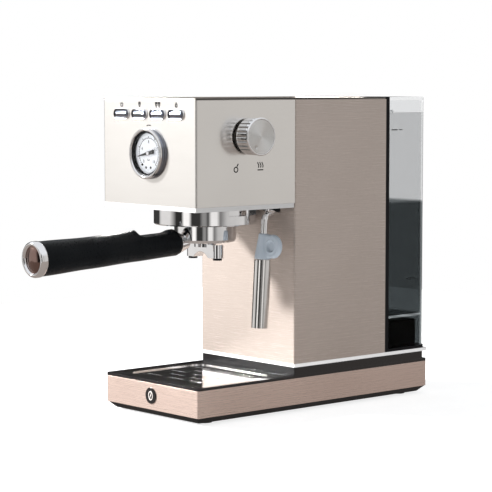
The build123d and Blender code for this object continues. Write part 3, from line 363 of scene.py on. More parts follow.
power_mark = joined(
    stroke(oval(0.0018, 0.0018, 30, 125.0, 290.0), line, print_thick),
    stroke([(0.0, 0.0006), (0.0, 0.0024)], line, print_thick),
)
steam_mark = stroke(drop_sides, 1.3 * line, print_thick, True)
marks = (power_mark, cup_mark(0.0), joined(cup_mark(-0.0022), cup_mark(0.0022)), steam_mark)
button_names = ("power_button", "single_cup_button", "double_cup_button", "steam_button")
mark_above_button = 0.0056
mark_above_gauge = 0.0016
front_marks = []
for name, mark in zip(button_names, marks):
    low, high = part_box(name)
    above = front_frame((low.x + high.x) / 2, head_low.y, high.z + mark_above_button)
    front_marks.append(placed(above, mark))
gauge_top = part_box("gauge_case")[1].z
gauge_mark = joined(
    stroke([(-0.0030, 0.0), (-0.0006, 0.0012)], line, print_thick),
    stroke([(0.0004, 0.0008), (0.0032, 0.0008)], line, print_thick),
)
front_marks.append(placed(front_frame(0.0, head_low.y, gauge_top + mark_above_gauge), gauge_mark))
make_piece("button_marks", joined(*front_marks), print_grey, "machine")

# ---- buttons and board ----
# Four chromed push buttons sit in chromed surrounds, and press switches on a board behind.
board_green = moulded_plastic("board_solder_mask", (0.01, 0.08, 0.03), (0.02, 0.12, 0.05), 0.4)
dress(board_green, "control_board")


def ring_faces(rings, count):
    """Four-sided faces between closed rings of count points each."""
    faces = []
    for ring in range(rings - 1):
        for place in range(count):
            after = (place + 1) % count
            faces.append((ring * count + place, ring * count + after,
                          (ring + 1) * count + after, (ring + 1) * count + place))
    return faces


def end_faces(rings, count):
    """The two faces that close the first ring and the last."""
    return [tuple(range(count))[::-1], tuple(range((rings - 1) * count, rings * count))]


def pill_rings(length, height, profile, close, steps=20):
    """Rings of a stadium outline; profile gives each ring's inset and its height above the panel."""
    straight = (length - height) / 2
    points = []
    for inset, rise in profile:
        radius = height / 2 - inset
        for side, start in ((1, -90.0), (-1, 90.0)):
            for step in range(steps + 1):
                angle = math.radians(start + 180.0 * step / steps)
                points.append((side * straight + radius * math.cos(angle), radius * math.sin(angle), rise))
    count = 2 * (steps + 1)
    faces = ring_faces(len(profile), count)
    if close:
        faces += end_faces(len(profile), count)
    return points, faces


# Chrome with a dark bluish tint: painted dark reflection on the button caps and the gauge's flange.
chrome_painted_reflection = mirror_metal("chrome_painted_reflection", (0.26, 0.28, 0.33), (0.36, 0.38, 0.44), 0.07)
surround_low, surround_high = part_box("button_surrounds")
button_low, button_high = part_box(button_names[0])
surround_height = surround_high.z - surround_low.z
surround_length = surround_height + 0.0144
surround_rise = head_low.y - surround_low.y
button_rise = head_low.y - button_low.y
button_length = button_high.x - button_low.x
button_height = button_high.z - button_low.z
opening_inset = (surround_height - button_height) / 2 - 0.00025
surround_profile = [(0.0, -0.0008), (0.0, 0.3 * surround_rise), (0.0002, 0.75 * surround_rise),
                    (0.0005, surround_rise), (0.0008, 0.92 * surround_rise)]
well_profile = [(0.0008, 0.92 * surround_rise), (0.0010, 0.6 * surround_rise),
                (opening_inset + 0.0008, 0.5 * surround_rise), (opening_inset + 0.0008, 0.33 * button_rise)]
button_profile = [(0.0, -0.004), (0.0, 0.30 * button_rise), (0.0008, 0.32 * button_rise),
                  (0.0009, 0.60 * button_rise)]
button_crown = [(0.0009 + 0.0028 * (k / 8), button_rise * (0.60 + 0.40 * math.sin(math.pi / 2 * k / 8)))
                for k in range(1, 9)]
surrounds, wells = [], []
for name in button_names:
    low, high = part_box(name)
    here = front_frame((low.x + high.x) / 2, head_low.y, (low.z + high.z) / 2)
    surrounds.append(placed(here, pill_rings(surround_length, surround_height, surround_profile, False)))
    wells.append(placed(here, pill_rings(surround_length, surround_height, well_profile, False)))
    cap = pill_rings(button_length, button_height, button_profile + button_crown, True)
    button = make_piece(name + "_cap", placed(here, cap), chrome_painted_reflection, name, 60.0)
    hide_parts(name)
surround = make_piece("button_rings", joined(*surrounds), chrome, "machine", 60.0)
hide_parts("button_surrounds")
# The wells inside the chromed surrounds are black: painted shade in the recess round each button.
make_piece("button_wells_painted_shade", joined(*wells), satin_black, "machine", 60.0)

# ---- pressure gauge ----
# A 40 mm Bourdon gauge: chromed bezel, white printed dial, black needle and a flat glass.
brass = mirror_metal("machined_brass", (0.60, 0.42, 0.16), (0.75, 0.55, 0.24), 0.25)
dial_white = gloss_plastic("dial_white", (0.80, 0.82, 0.86), 0.4)
needle_black = gloss_plastic("needle_black", (0.004, 0.004, 0.004), 0.3)


def clear_sheet(name, colour, roughness):
    """Clear glass or plastic."""
    finish, tree, shader = new_finish(name, colour, 0.0, roughness)
    shader.inputs["Transmission Weight"].default_value = 1.0
    shader.inputs["IOR"].default_value = 1.1
    wave = grain_texture(tree, 0.02, detail=1.0)
    tree.links.new(spread(tree, wave, roughness, roughness + 0.02), shader.inputs["Roughness"])
    return finish


gauge_glass = clear_sheet("gauge_glass", (0.985, 0.985, 0.985), 0.0)
dress(brass, "gauge_movement")
dress(dial_white, "gauge_dial")
dress(gauge_glass, "gauge_glass")


def turned(profile, steps=96):
    """Surface turned about Z from (radius, height) points; a radius of 0 closes it to a point."""
    points, rings, faces = [], [], []
    for radius, height in profile:
        count = 1 if radius == 0 else steps
        rings.append(range(len(points), len(points) + count))
        for step in range(count):
            angle = 2 * math.pi * step / steps
            points.append((radius * math.cos(angle), radius * math.sin(angle), height))
    for low, high in zip(rings, rings[1:]):
        for step in range(steps):
            after = (step + 1) % steps
            ring = [low[step % len(low)], low[after % len(low)],
                    high[after % len(high)], high[step % len(high)]]
            face = tuple(dict.fromkeys(ring))
            if len(face) > 2:
                faces.append(face)
    return points, faces


case_low, case_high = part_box("gauge_case")
dial_low, dial_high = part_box("gauge_dial")
gauge_z = (dial_low.z + dial_high.z) / 2
bezel_radius = (case_high.z - case_low.z) / 2
dial_radius = (dial_high.z - dial_low.z) / 2
bezel_rise = head_low.y - case_low.y
dial_rise = head_low.y - dial_low.y
gauge_place = front_frame(0.0, head_low.y, gauge_z)
bezel_front = bezel_rise * 0.60
bezel_bow = (bezel_radius - dial_radius - 0.0012) / 2
bezel_wall = [
    (bezel_radius - 0.0018, -0.0005), (bezel_radius - 0.0004, 0.0001), (bezel_radius, 0.0007),
    (bezel_radius, bezel_front - 0.0016), (bezel_radius - 0.0004, bezel_front - 0.0010),
    (bezel_radius - 0.0012, bezel_front - 0.0008), (bezel_radius - 0.0012, bezel_front - 0.0002),
]
bezel_profile = [bezel_wall[-1]]
for step in range(15):
    angle = math.pi * step / 14
    bezel_profile.append((bezel_radius - bezel_bow * (1 - math.cos(angle)),
                          bezel_front + (bezel_rise - bezel_front) * math.sin(angle) ** 0.7))
wall_profile = [
    (dial_radius + 0.0014, bezel_rise - 0.0016), (dial_radius + 0.0002, bezel_rise - 0.0019),
    (dial_radius - 0.0004, bezel_rise - 0.0023),
    (dial_radius - 0.0004, dial_rise + 0.0001), (dial_radius + 0.0002, dial_rise + 0.0001),
]
bezel = make_piece("gauge_bezel", placed(gauge_place, turned(bezel_profile)), chrome, "machine",
                   50.0)
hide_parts("gauge_case")
make_piece("gauge_flange", placed(gauge_place, turned(bezel_wall)), chrome_painted_reflection, "machine", 50.0)
# The bezel's inner wall round the dial is black: painted shade.
make_piece("gauge_inner_wall_painted_shade", placed(gauge_place, turned(wall_profile)), satin_black, "machine")
scale_radius = 0.0148
scale_start = 225.0
scale_sweep = 270.0
thin_line, thick_line = 0.0004, 0.0008
short_tick, long_tick = 0.0011, 0.0021
divisions = 32
scale_arc = oval(scale_radius, scale_radius, 72, scale_start - scale_sweep, scale_sweep)
scale_marks = [stroke(scale_arc, thin_line, print_thick)]
for division in range(divisions + 1):
    angle = math.radians(scale_start - scale_sweep * division / divisions)
    tick, width = (long_tick, thick_line) if division % 4 == 0 else (short_tick, thin_line)
    ends = [(r * math.cos(angle), r * math.sin(angle)) for r in (scale_radius, scale_radius + tick)]
    scale_marks.append(stroke(ends, width, print_thick))


def printed_number(number, x, y, size):
    """A number on the dial, as a thin raised shape."""
    letters = bpy.data.curves.new("number", "FONT")
    letters.body = number
    letters.size = size
    letters.align_x = "CENTER"
    letters.align_y = "CENTER"
    letters.extrude = print_thick / 2
    letters.resolution_u = 3
    holder = bpy.data.objects.new("number", letters)
    mesh = bpy.data.meshes.new_from_object(holder)
    points = [vertex.co + Vector((x, y, print_thick / 2)) for vertex in mesh.vertices]
    faces = [tuple(face.vertices) for face in mesh.polygons]
    bpy.data.objects.remove(holder)
    bpy.data.meshes.remove(mesh)
    bpy.data.curves.remove(letters)
    return points, faces


full_scale = 16
number_radius = 0.0112
for bar in range(0, full_scale + 1, 4):
    angle = math.radians(scale_start - scale_sweep * bar / full_scale)
    x, y = number_radius * math.cos(angle), number_radius * math.sin(angle)
    scale_marks.append(printed_number(str(bar), x, y, 0.0044))
scale_marks.append(printed_number("bar", 0.0, -0.0064, 0.0032))
for x, y in ((-0.0098, -0.0112), (-0.0042, -0.0139), (0.0030, -0.0139)):
    scale_marks.append(stroke([(x - 0.0011, y + 0.0005), (x + 0.0011, y - 0.0005)], 0.0021, print_thick))
dial_place = gauge_place @ Matrix.Translation((0.0, 0.0, dial_rise))
make_piece("gauge_print", placed(dial_place, joined(*scale_marks)), print_grey, "machine")
needle_angle = math.radians(191.5)
needle_outline = [(-0.0095, 0.0015), (-0.0088, 0.0023), (-0.0035, 0.0017), (0.0, 0.0019),
                  (0.004, 0.0012), (0.0160, 0.0003)]
needle_edge = needle_outline + [(x, -y) for x, y in reversed(needle_outline)]
edge_count = len(needle_edge)
blade_back, blade_front = 0.0009, 0.0015
blade = (
    [(x, y, z) for z in (blade_back, blade_front) for x, y in needle_edge],
    end_faces(2, edge_count) + ring_faces(2, edge_count),
)
needle_place = gauge_place @ Matrix.Rotation(needle_angle, 4, "Z")
hub_profile = [(0.0, blade_back), (0.0019, blade_back), (0.0019, 0.0016), (0.0016, 0.0020), (0.0, 0.0021)]
needle = make_piece("needle_blade", placed(needle_place, blade), needle_black, "gauge_needle")
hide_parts("gauge_needle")
make_piece("needle_hub", placed(needle_place, turned(hub_profile, 32)), chrome, "gauge_needle")

# ---- steam knob and valve ----
# The knob is a chromed moulding with grooves round it and a spun aluminium disc in its face. It
# sits on the valve's brass spindle, between the two marks printed on the head's side.
knob_low, knob_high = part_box("steam_knob")
knob_radius = (knob_high.z - knob_low.z) / 2
knob_length = knob_high.x - knob_low.x
knob_axis = Vector((0.0, (knob_low.y + knob_high.y) / 2, (knob_low.z + knob_high.z) / 2))
knob_turn = Matrix.Rotation(math.radians(90), 4, "Y")
knob_back = Matrix.Translation((knob_low.x, knob_axis.y, knob_axis.z)) @ knob_turn


def spun_aluminium():
    """Turned face: fine rings about the knob's axis, which spread the light into two fans."""
    finish, tree, shader = new_finish("spun_aluminium", (0.80, 0.80, 0.79), 1.0, 0.36)
    shader.inputs["Anisotropic"].default_value = 1.0
    place = tree.nodes.new("ShaderNodeTexCoord")
    centred = tree.nodes.new("ShaderNodeVectorMath")
    centred.operation = "SUBTRACT"
    centred.inputs[1].default_value = knob_axis
    flat = tree.nodes.new("ShaderNodeVectorMath")
    flat.operation = "MULTIPLY"
    flat.inputs[1].default_value = (0.0, 1.0, 1.0)
    tree.links.new(place.outputs["Object"], centred.inputs[0])
    tree.links.new(centred.outputs["Vector"], flat.inputs[0])
    length = tree.nodes.new("ShaderNodeVectorMath")
    length.operation = "LENGTH"
    tree.links.new(flat.outputs["Vector"], length.inputs[0])
    rings = tree.nodes.new("ShaderNodeTexNoise")
    rings.noise_dimensions = "1D"
    rings.inputs["Scale"].default_value = 2500.0
    tree.links.new(length.outputs["Value"], rings.inputs["W"])
    colour = tint(tree, rings.outputs["Fac"], (0.66, 0.66, 0.65), (0.86, 0.86, 0.85))
    tree.links.new(colour, shader.inputs["Base Color"])
    tree.links.new(spread(tree, rings.outputs["Fac"], 0.33, 0.39), shader.inputs["Roughness"])
    tree.links.new(flat.outputs["Vector"], shader.inputs["Tangent"])
    relief(tree, shader, rings.outputs["Fac"], 0.000008)
    return finish


def fluted(profile, flutes, groove, steps_each=8):
    """Turned surface with evenly spaced grooves; profile adds how deep each ring is grooved."""
    steps = flutes * steps_each
    points = []
    for radius, height, share in profile:
        for step in range(steps):
            angle = 2 * math.pi * step / steps
            across = abs((step % steps_each) / steps_each - 0.5) * 2
            cut = groove * share * max(0.0, (across - 0.62) / 0.38)
            points.append(((radius - cut) * math.cos(angle), (radius - cut) * math.sin(angle), height))
    return points, ring_faces(len(profile), steps)


disc_radius = knob_radius - 0.0019
knob_wall = [
    (knob_radius - 0.004, 0.0, 0.0), (knob_radius - 0.0012, 0.0, 0.0), (knob_radius - 0.0006, 0.0006, 0.4),
    (knob_radius - 0.0004, 0.0015, 1.0), (knob_radius - 0.0004, knob_length - 0.0034, 1.0),
    (knob_radius - 0.0008, knob_length - 0.0028, 0.5), (knob_radius - 0.0008, knob_length - 0.0024, 0.0),
    (knob_radius, knob_length - 0.0018, 0.0), (knob_radius, knob_length - 0.0008, 0.0),
    (knob_radius - 0.0005, knob_length - 0.0002, 0.0), (knob_radius - 0.0011, knob_length, 0.0),
    (disc_radius + 0.0002, knob_length - 0.0002, 0.0), (disc_radius, knob_length - 0.0007, 0.0),
]
grooves, groove_depth = 24, 0.0013
skirt = fluted(knob_wall, grooves, groove_depth)
knob = make_piece("knob_skirt", placed(knob_back, skirt), chrome, "steam_knob", 40.0)
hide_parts("steam_knob")
dimple_turn = math.radians(238)
dimple_out, dimple_radius, dimple_depth = 0.012, 0.0019, 0.0007
dimple_middle = Vector((-dimple_out * math.sin(dimple_turn), dimple_out * math.cos(dimple_turn)))
disc_points, disc_faces = turned([(disc_radius * k / 40, knob_length - 0.00045) for k in range(41)], 160)
for place, (x, y, z) in enumerate(disc_points):
    apart = (Vector((x, y)) - dimple_middle).length / dimple_radius
    if apart < 1.0:
        disc_points[place] = (x, y, z - dimple_depth * (1 - apart * apart))
disc = make_piece("knob_face", placed(knob_back, (disc_points, disc_faces)), spun_aluminium(), "steam_knob")
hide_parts("knob_disc")
dress(brass, "valve_spindle")
dress(screw_zinc, "steam_valve")


def side_frame(y, z):
    """Place on the machine's right side: local X towards the back, Y up and Z outwards."""
    turn = Matrix(((0, 0, 1, 0), (1, 0, 0, 0), (0, 1, 0, 0), (0, 0, 0, 1)))
    return Matrix.Translation((head_high.x, y, z)) @ turn


closed_mark = joined(
    stroke(oval(0.0024, 0.0024), line, print_thick, True),
    stroke([(0.0012, 0.0030), (0.0030, 0.0056)], line, print_thick),
)
waves = [[(x + 0.0007 * math.sin(5 * t), 0.0012 + 0.0055 * t) for t in [k / 10 for k in range(11)]]
         for x in (-0.0036, -0.0008, 0.0020)]
open_mark = joined(*[stroke(wave, line, print_thick) for wave in waves],
                   stroke([(-0.0045, -0.0010), (0.0030, -0.0010)], line, print_thick))
mark_z = knob_axis.z - 0.032
side_marks = joined(
    placed(side_frame(knob_axis.y - 0.0149, mark_z), closed_mark),
    placed(side_frame(knob_axis.y + 0.0175, mark_z), open_mark),
)
make_piece("valve_marks", side_marks, print_grey, "machine")

# ---- group ----
# The chromed collar holds the filter holder by its ears, against a gasket round the shower screen.
cast_aluminium = moulded_plastic("cast_aluminium", (0.45, 0.45, 0.45), (0.6, 0.6, 0.6), 0.45, 0.001)
gasket_red = moulded_plastic("gasket_silicone", (0.25, 0.05, 0.04), (0.3, 0.07, 0.05), 0.6)
dress(chrome, "group_collar")
dress(cast_aluminium, "group_head")
dress(gasket_red, "group_gasket")
dress(polished_steel, "shower_screen")

# ---- filter holder ----
# A chromed brass bowl with a twin spout under it, and a black handle screwed on to its tang. A
# chrome cap closes the handle's end.
handle_black = moulded_plastic("handle_black", (0.003, 0.004, 0.005), (0.006, 0.007, 0.008), 0.30,
                               shine=0.07)
dress(chrome, "portafilter_body", "twin_spout")
dress(polished_steel, "filter_basket")
dress(satin_black, "spout_tips")
cap_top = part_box("handle_cap")[1].z
grip_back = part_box("portafilter_handle")[1].y
slope = math.radians(2.22)
handle_length = 0.166
cap_end = handle_length + 0.008
cap_below_top = 0.0172
handle_start = Vector((0.0, grip_back - 0.0003, cap_top - cap_below_top + cap_end * math.sin(slope)))
handle_place = Matrix.Translation(handle_start) @ Matrix((
    (1, 0, 0, 0),
    (0, -math.sin(slope), -math.cos(slope), 0),
    (0, math.cos(slope), -math.sin(slope), 0),
    (0, 0, 0, 1),
))


def between(value, stops):
    """Smooth value from (place, value) stops."""
    for (low_at, low_value), (high_at, high_value) in zip(stops, stops[1:]):
        if value <= high_at:
            share = (value - low_at) / (high_at - low_at)
            return low_value + (high_value - low_value) * share * share * (3 - 2 * share)
    return stops[-1][1]


# how far the handle's round barrel and its top line stand from its axis, along its length
barrel = [(0.0, 0.0094), (0.0008, 0.0112), (0.003, 0.0128), (0.055, 0.0138), (0.110, 0.0152),
          (0.160, 0.0166), (0.166, 0.0167)]
crest = [(0.0, 0.0094), (0.0008, 0.0116), (0.004, 0.0140), (0.010, 0.0138), (0.016, 0.0112),
         (0.044, 0.0108), (0.049, 0.0128), (0.0515, 0.0170), (0.0535, 0.0174), (0.057, 0.0163),
         (0.075, 0.0156), (0.110, 0.0156), (0.160, 0.0166), (0.166, 0.0167)]
ring_steps = 64
soft = 0.0007
handle_points = []
stations = [0.0, 0.0003, 0.0008, 0.0016, 0.003] + [0.003 + k * 0.00163 for k in range(1, 101)]
for station in stations:
    radius = between(station, barrel)
    top = between(station, crest)
    for step in range(ring_steps):
        angle = 2 * math.pi * step / ring_steps
        up = radius * math.sin(angle)
        if top >= radius:
            up += (top - radius) * max(0.0, math.sin(angle)) ** 8
        else:
            up = -soft * math.log(math.exp(-up / soft) + math.exp(-top / soft))
        handle_points.append((radius * math.cos(angle), up, station))
handle_faces = ring_faces(len(stations), ring_steps) + end_faces(len(stations), ring_steps)
handle = make_piece("handle_grip", placed(handle_place, (handle_points, handle_faces)), handle_black,
                    "portafilter", 50.0)
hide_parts("portafilter_handle")

cap_radius = 0.01725
cap_rim_profile = [
    (cap_radius - 0.0010, handle_length), (cap_radius - 0.0002, handle_length + 0.0005),
    (cap_radius, handle_length + 0.0012), (cap_radius, cap_end - 0.0030),
    (cap_radius - 0.0005, cap_end - 0.0014), (cap_radius - 0.0015, cap_end - 0.0003),
    (cap_radius - 0.0026, cap_end), (cap_radius - 0.0037, cap_end - 0.0005),
    (cap_radius - 0.0045, cap_end - 0.0022),
]
cap_face_profile = [(cap_radius - 0.0045, cap_end - 0.0022), (cap_radius - 0.0056, cap_end - 0.0023),
                    (cap_radius - 0.0064, cap_end - 0.0016), (0.004, cap_end - 0.0010),
                    (0.0, cap_end - 0.0009)]
cap_rim = make_piece("cap_rim", placed(handle_place, turned(cap_rim_profile, 72)), chrome, "portafilter",
                     50.0)
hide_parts("handle_cap")
# The cap face is chrome with a dark brown tint: painted dark reflection.
cap_dark = mirror_metal("cap_face_painted_reflection", (0.20, 0.13, 0.11), (0.28, 0.19, 0.17), 0.08)
make_piece("cap_face", placed(handle_place, turned(cap_face_profile, 72)), cap_dark, "portafilter",
           50.0)

# ---- steam wand ----
# A steel tube on a ball, with a silicone grip to hold it by and a steel frother sleeve over its end.
grip_silicone = moulded_plastic("grip_silicone", (0.33, 0.375, 0.42), (0.38, 0.425, 0.475), 0.42,
                                0.0004, 0.00002)
dress(satin_black, "wand_nut")
dress(chrome, "wand_ball", "wand_tube")
dress(polished_steel, "frother_sleeve")

lean = math.radians(3.4)
grip_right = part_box("wand_grip")[1].x
sleeve_low, sleeve_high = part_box("frother_sleeve")
sleeve_radius = (sleeve_high.x - sleeve_low.x) / 2
sleeve_x = (sleeve_low.x + sleeve_high.x) / 2
grip_length = 0.026
grip_end = Vector((sleeve_x, sleeve_high.y - sleeve_radius * math.cos(lean),
                   sleeve_high.z - sleeve_radius * math.sin(lean)))
grip_place = Matrix.Translation(grip_end + Vector((0, math.sin(lean), math.cos(lean))) * 0.0003) @ Matrix((
    (1, 0, 0, 0),
    (0, math.cos(lean), math.sin(lean), 0),
    (0, -math.sin(lean), math.cos(lean), 0),
    (0, 0, 0, 1),
))
tab_radius = 0.0118
tab_x = grip_right - sleeve_x - tab_radius - 0.0001
tab_z = grip_length - tab_radius - 0.0006
cone = turned([(0.0, 0.0002), (0.0076, 0.0002), (0.0083, 0.0010), (0.0080, 0.004),
               (0.0050, grip_length - 0.0012), (0.0043, grip_length - 0.0002),
               (0.0, grip_length - 0.0002)], 64)
tab_edge = [
    (0.0, -0.0029), (tab_radius - 0.0022, -0.0029), (tab_radius - 0.0007, -0.0022), (tab_radius, -0.0008),
    (tab_radius, 0.0008), (tab_radius - 0.0007, 0.0022), (tab_radius - 0.0022, 0.0029), (0.0, 0.0029),
]
upright = Matrix.Rotation(math.radians(90), 4, "X")
tab, tab_middle = [placed(Matrix.Translation((x, 0, tab_z)) @ upright, turned(tab_edge, 72))
                   for x in (tab_x, tab_x * 0.45)]
grip = make_piece("grip_skin", joined(cone, tab, tab_middle), grip_silicone, "wand",
                  180.0)
fuse = grip.modifiers.new("fuse", "REMESH")
fuse.mode = "VOXEL"
fuse.voxel_size = 0.0005
melt = grip.modifiers.new("melt", "SMOOTH")
melt.factor = 0.5
melt.iterations = 3
fused = bpy.data.meshes.new_from_object(grip.evaluated_get(bpy.context.evaluated_depsgraph_get()))
grip.modifiers.clear()
dimple_x = tab_x - 0.0012
ring_radius, ring_width, ring_height = 0.0064, 0.0009, 0.0005
pit_radius, pit_edge, pit_depth = 0.0052, 0.00025, 0.0022
for vertex in fused.vertices:
    apart = Vector((vertex.co.x - dimple_x, vertex.co.z - tab_z)).length
    if vertex.co.y < 0 and vertex.co.x > 0.006:
        ring = math.exp(-((apart - ring_radius) / ring_width) ** 2)
        pit = 1 / (1 + math.exp((apart - pit_radius) / pit_edge))
        vertex.co.y += pit_depth * pit - ring_height * ring
fused.transform(grip_place)
fused.shade_smooth()
grip.data = fused
grip.data.materials.clear()
grip.data.materials.append(grip_silicone)
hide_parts("wand_grip")

# ---- water tank ----
# A clear smoke moulding that hangs over a black pedestal, with a hinged lid. Level marks are
# printed on its side.
tank_smoke = clear_sheet("tank_smoke", (0.83, 0.835, 0.84), 0.03)


def darken_below(finish, height, dark, light):
    """Colours the tank darker below the given height than above it."""
    tree = finish.node_tree
    place = tree.nodes.new("ShaderNodeTexCoord")
    axes = tree.nodes.new("ShaderNodeSeparateXYZ")
    fade = tree.nodes.new("ShaderNodeMapRange")
    fade.inputs["From Min"].default_value = height - 0.0015
    fade.inputs["From Max"].default_value = height + 0.0015
    tree.links.new(place.outputs["Object"], axes.inputs["Vector"])
    tree.links.new(axes.outputs["Z"], fade.inputs["Value"])
    ramp = tree.nodes.new("ShaderNodeValToRGB")
    ramp.color_ramp.elements[0].color = (*dark, 1.0)
    ramp.color_ramp.elements[1].color = (*light, 1.0)
    tree.links.new(fade.outputs["Result"], ramp.inputs["Fac"])
    tree.links.new(ramp.outputs["Color"], tree.nodes["Principled BSDF"].inputs["Base Color"])


tank_low, tank_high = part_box("tank")
darker_below_height = tank_low.z + 0.153
darken_below(tank_smoke, darker_below_height, (0.17, 0.185, 0.19), (0.69, 0.695, 0.70))
lid_smoke = clear_sheet("lid_smoke", (0.86, 0.865, 0.87), 0.03)
dress(tank_smoke, "tank")
dress(lid_smoke, "tank_lid")
lid_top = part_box("tank_lid")[1].z
tank_middle = (tank_low.y + tank_high.y) / 2
thick_mark, thin_mark = 0.0011, 0.0009
full_place = side_frame(tank_middle - 0.019, lid_top - 0.034)
low_place = side_frame(tank_middle + 0.002, tank_low.z + 0.072)
level_marks = joined(
    placed(full_place, stroke([(-0.008, 0.0), (0.001, 0.0)], thick_mark, print_thick)),
    placed(full_place, stroke([(0.003, 0.0), (0.008, 0.0)], thin_mark, print_thick)),
    placed(low_place, stroke([(-0.006, 0.0), (-0.003, 0.0)], thin_mark, print_thick)),
    placed(low_place, stroke(oval(0.0011, 0.0011), 0.0006, print_thick, True)),
    placed(low_place, stroke([(0.003, 0.0), (0.006, 0.0)], thin_mark, print_thick)),
)
make_piece("level_marks", level_marks, print_grey, "tank")
dress(satin_black, "tank_pedestal", "tank_valve", "valve_plunger")

# ---- machinery inside ----
# What the casing hides: a cast boiler, the pump on its rubber mounts, the valve, and the copper
# pipes and soft hose between them.
pipe_copper = mirror_metal("drawn_copper", (0.60, 0.30, 0.20), (0.72, 0.40, 0.28), 0.25)
milky_hose = moulded_plastic("milky_hose", (0.6, 0.6, 0.58), (0.7, 0.7, 0.68), 0.5)
dress(cast_aluminium, "boiler")
dress(screw_zinc, "thermostats", "pump_bracket")
dress(satin_black, "solenoid_valve", "pump")
dress(foot_rubber, "pump_mounts")
dress(milky_hose, "suction_hose")
dress(pipe_copper, "brew_pipe", "steam_pipes")

# ---- studio ----
# A pale floor in a room that looks plain white. Only mirroring surfaces see the ring of bright and
# dark walls and the greyer floor, and diffuse light comes from a dimmer room.


def mirror_rays(tree):
    """The ray's nature, and 1 for rays off a mirroring surface; rays through clear plastic give 0."""
    path = tree.nodes.new("ShaderNodeLightPath")
    only = tree.nodes.new("ShaderNodeMath")
    only.operation = "SUBTRACT"
    only.use_clamp = True
    tree.links.new(path.outputs["Is Glossy Ray"], only.inputs[0])
    tree.links.new(path.outputs["Is Transmission Ray"], only.inputs[1])
    return path, only.outputs["Value"]


def colour_mix(tree):
    """A node that mixes colour A into colour B."""
    node = tree.nodes.new("ShaderNodeMix")
    node.data_type = "RGBA"
    return node


floor_half = 0.9
floor_mesh = bpy.data.meshes.new("floor")
floor_signs = [(-1, -1), (1, -1), (1, 1), (-1, 1)]
floor_mesh.from_pydata([(x * floor_half, y * floor_half, 0.0) for x, y in floor_signs], [], [(0, 1, 2, 3)])
floor = bpy.data.objects.new("floor", floor_mesh)
bpy.context.scene.collection.objects.link(floor)
floor_paper = moulded_plastic("floor_paper", (0.42, 0.42, 0.42), (0.46, 0.46, 0.46), 0.9, shine=0.0)
paper_tree = floor_paper.node_tree
paper_shader = paper_tree.nodes["Principled BSDF"]
paper_shader.inputs["Emission Color"].default_value = (1.0, 1.0, 1.0, 1.0)
paper_shader.inputs["Emission Strength"].default_value = 0.78
mirrored = paper_tree.nodes.new("ShaderNodeEmission")
mirrored.inputs["Color"].default_value = (0.40, 0.35, 0.32, 1.0)
paper_mix = paper_tree.nodes.new("ShaderNodeMixShader")
paper_out = paper_tree.nodes["Material Output"]
paper_mirror = mirror_rays(paper_tree)[1]
paper_tree.links.new(paper_mirror, paper_mix.inputs[0])
paper_tree.links.new(paper_shader.outputs[0], paper_mix.inputs[1])
paper_tree.links.new(mirrored.outputs[0], paper_mix.inputs[2])
paper_tree.links.new(paper_mix.outputs[0], paper_out.inputs["Surface"])
floor_mesh.materials.append(floor_paper)
floor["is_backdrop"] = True

world = bpy.data.worlds.new("room")
bpy.context.scene.world = world
world.use_nodes = True
room = world.node_tree
room_shader = room.nodes["Background"]
room_way = room.nodes.new("ShaderNodeTexCoord")
room_axes = room.nodes.new("ShaderNodeSeparateXYZ")
room.links.new(room_way.outputs["Generated"], room_axes.inputs["Vector"])
bearing = room.nodes.new("ShaderNodeMath")
bearing.operation = "ARCTAN2"
room.links.new(room_axes.outputs["Y"], bearing.inputs[0])
room.links.new(room_axes.outputs["X"], bearing.inputs[1])
around = room.nodes.new("ShaderNodeMapRange")
around.inputs["From Min"].default_value = -math.pi
around.inputs["From Max"].default_value = math.pi
room.links.new(bearing.outputs["Value"], around.inputs["Value"])
walls = room.nodes.new("ShaderNodeValToRGB")
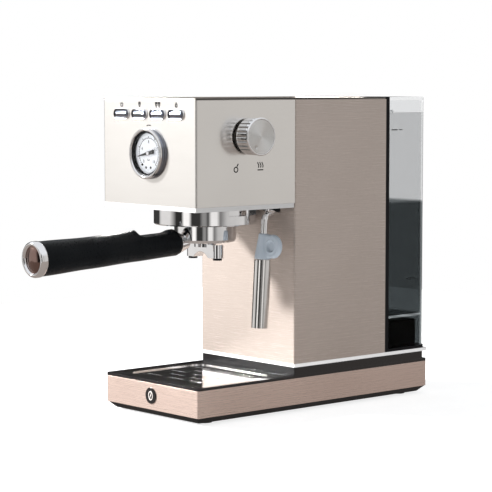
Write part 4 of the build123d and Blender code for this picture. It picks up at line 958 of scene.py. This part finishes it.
# bearing in degrees from the machine's right, and how bright the wall is there
wall_brightness = (
    (-180, 0.05), (-166, 0.05), (-159, 0.7), (-152, 0.85), (-126, 0.85), (-116, 0.40), (-108, 0.03),
    (-94, 0.03), (-88, 1.2), (-77, 1.2), (-70, 0.04), (-52, 0.04), (-45, 0.30), (-39, 0.30),
    (-33, 0.04), (-26, 0.95), (-14, 0.95), (-6, 0.20), (10, 0.60), (56, 0.72), (66, 0.20),
    (80, 0.10), (86, 1.0), (98, 1.0), (108, 0.03), (150, 0.03), (180, 0.05),
)
stops = walls.color_ramp.elements
for place, (degrees, bright) in enumerate(wall_brightness):
    stop = stops[place] if place < 2 else stops.new((degrees + 180) / 360)
    stop.position = (degrees + 180) / 360
    stop.color = (bright, bright * 0.975, bright * 0.95, 1.0)
room.links.new(around.outputs["Result"], walls.inputs["Fac"])
rise = room.nodes.new("ShaderNodeMapRange")
rise.inputs["From Min"].default_value = 0.30
rise.inputs["From Max"].default_value = 0.55
room.links.new(room_axes.outputs["Z"], rise.inputs["Value"])
ceiling = colour_mix(room)
ceiling.inputs["B"].default_value = (0.9, 0.92, 0.95, 1.0)
room.links.new(rise.outputs["Result"], ceiling.inputs["Factor"])
room.links.new(walls.outputs["Color"], ceiling.inputs["A"])
room_path, room_mirror = mirror_rays(room)
seen = colour_mix(room)
seen.inputs["A"].default_value = (1.0, 1.0, 1.0, 1.0)
room.links.new(room_mirror, seen.inputs["Factor"])
room.links.new(ceiling.outputs["Result"], seen.inputs["B"])
dimmed = colour_mix(room)
dimmed.inputs["B"].default_value = (0.55, 0.56, 0.58, 1.0)
room.links.new(room_path.outputs["Is Diffuse Ray"], dimmed.inputs["Factor"])
room.links.new(seen.outputs["Result"], dimmed.inputs["A"])
room.links.new(dimmed.outputs["Result"], room_shader.inputs["Color"])


def soft_light(name, place, aim, width, height, power):
    """A rectangular softbox."""
    data = bpy.data.lights.new(name, "AREA")
    data.shape = "RECTANGLE"
    data.size = width
    data.size_y = height
    data.energy = power
    lamp = bpy.data.objects.new(name, data)
    lamp.location = place
    lamp.rotation_euler = (Vector(aim) - Vector(place)).to_track_quat("-Z", "Y").to_euler()
    bpy.context.scene.collection.objects.link(lamp)


soft_light("key_light", (-2.08, -1.6, 1.46), (0.0, 0.0, 0.15), 0.35, 0.35, 290.0)

camera_data = bpy.data.cameras.new("camera")
camera_data.lens = 140.56
camera_data.sensor_width = 36.0
camera_data.clip_end = 50.0
camera = bpy.data.objects.new("camera", camera_data)
camera.location = (1.4722, -1.3267, 0.3296)
camera.rotation_euler = (math.radians(90 - 4.854), 0.0, math.radians(48.711))
bpy.context.scene.collection.objects.link(camera)
bpy.context.scene.camera = camera
bpy.context.scene.view_settings.view_transform = "Standard"

low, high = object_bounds()
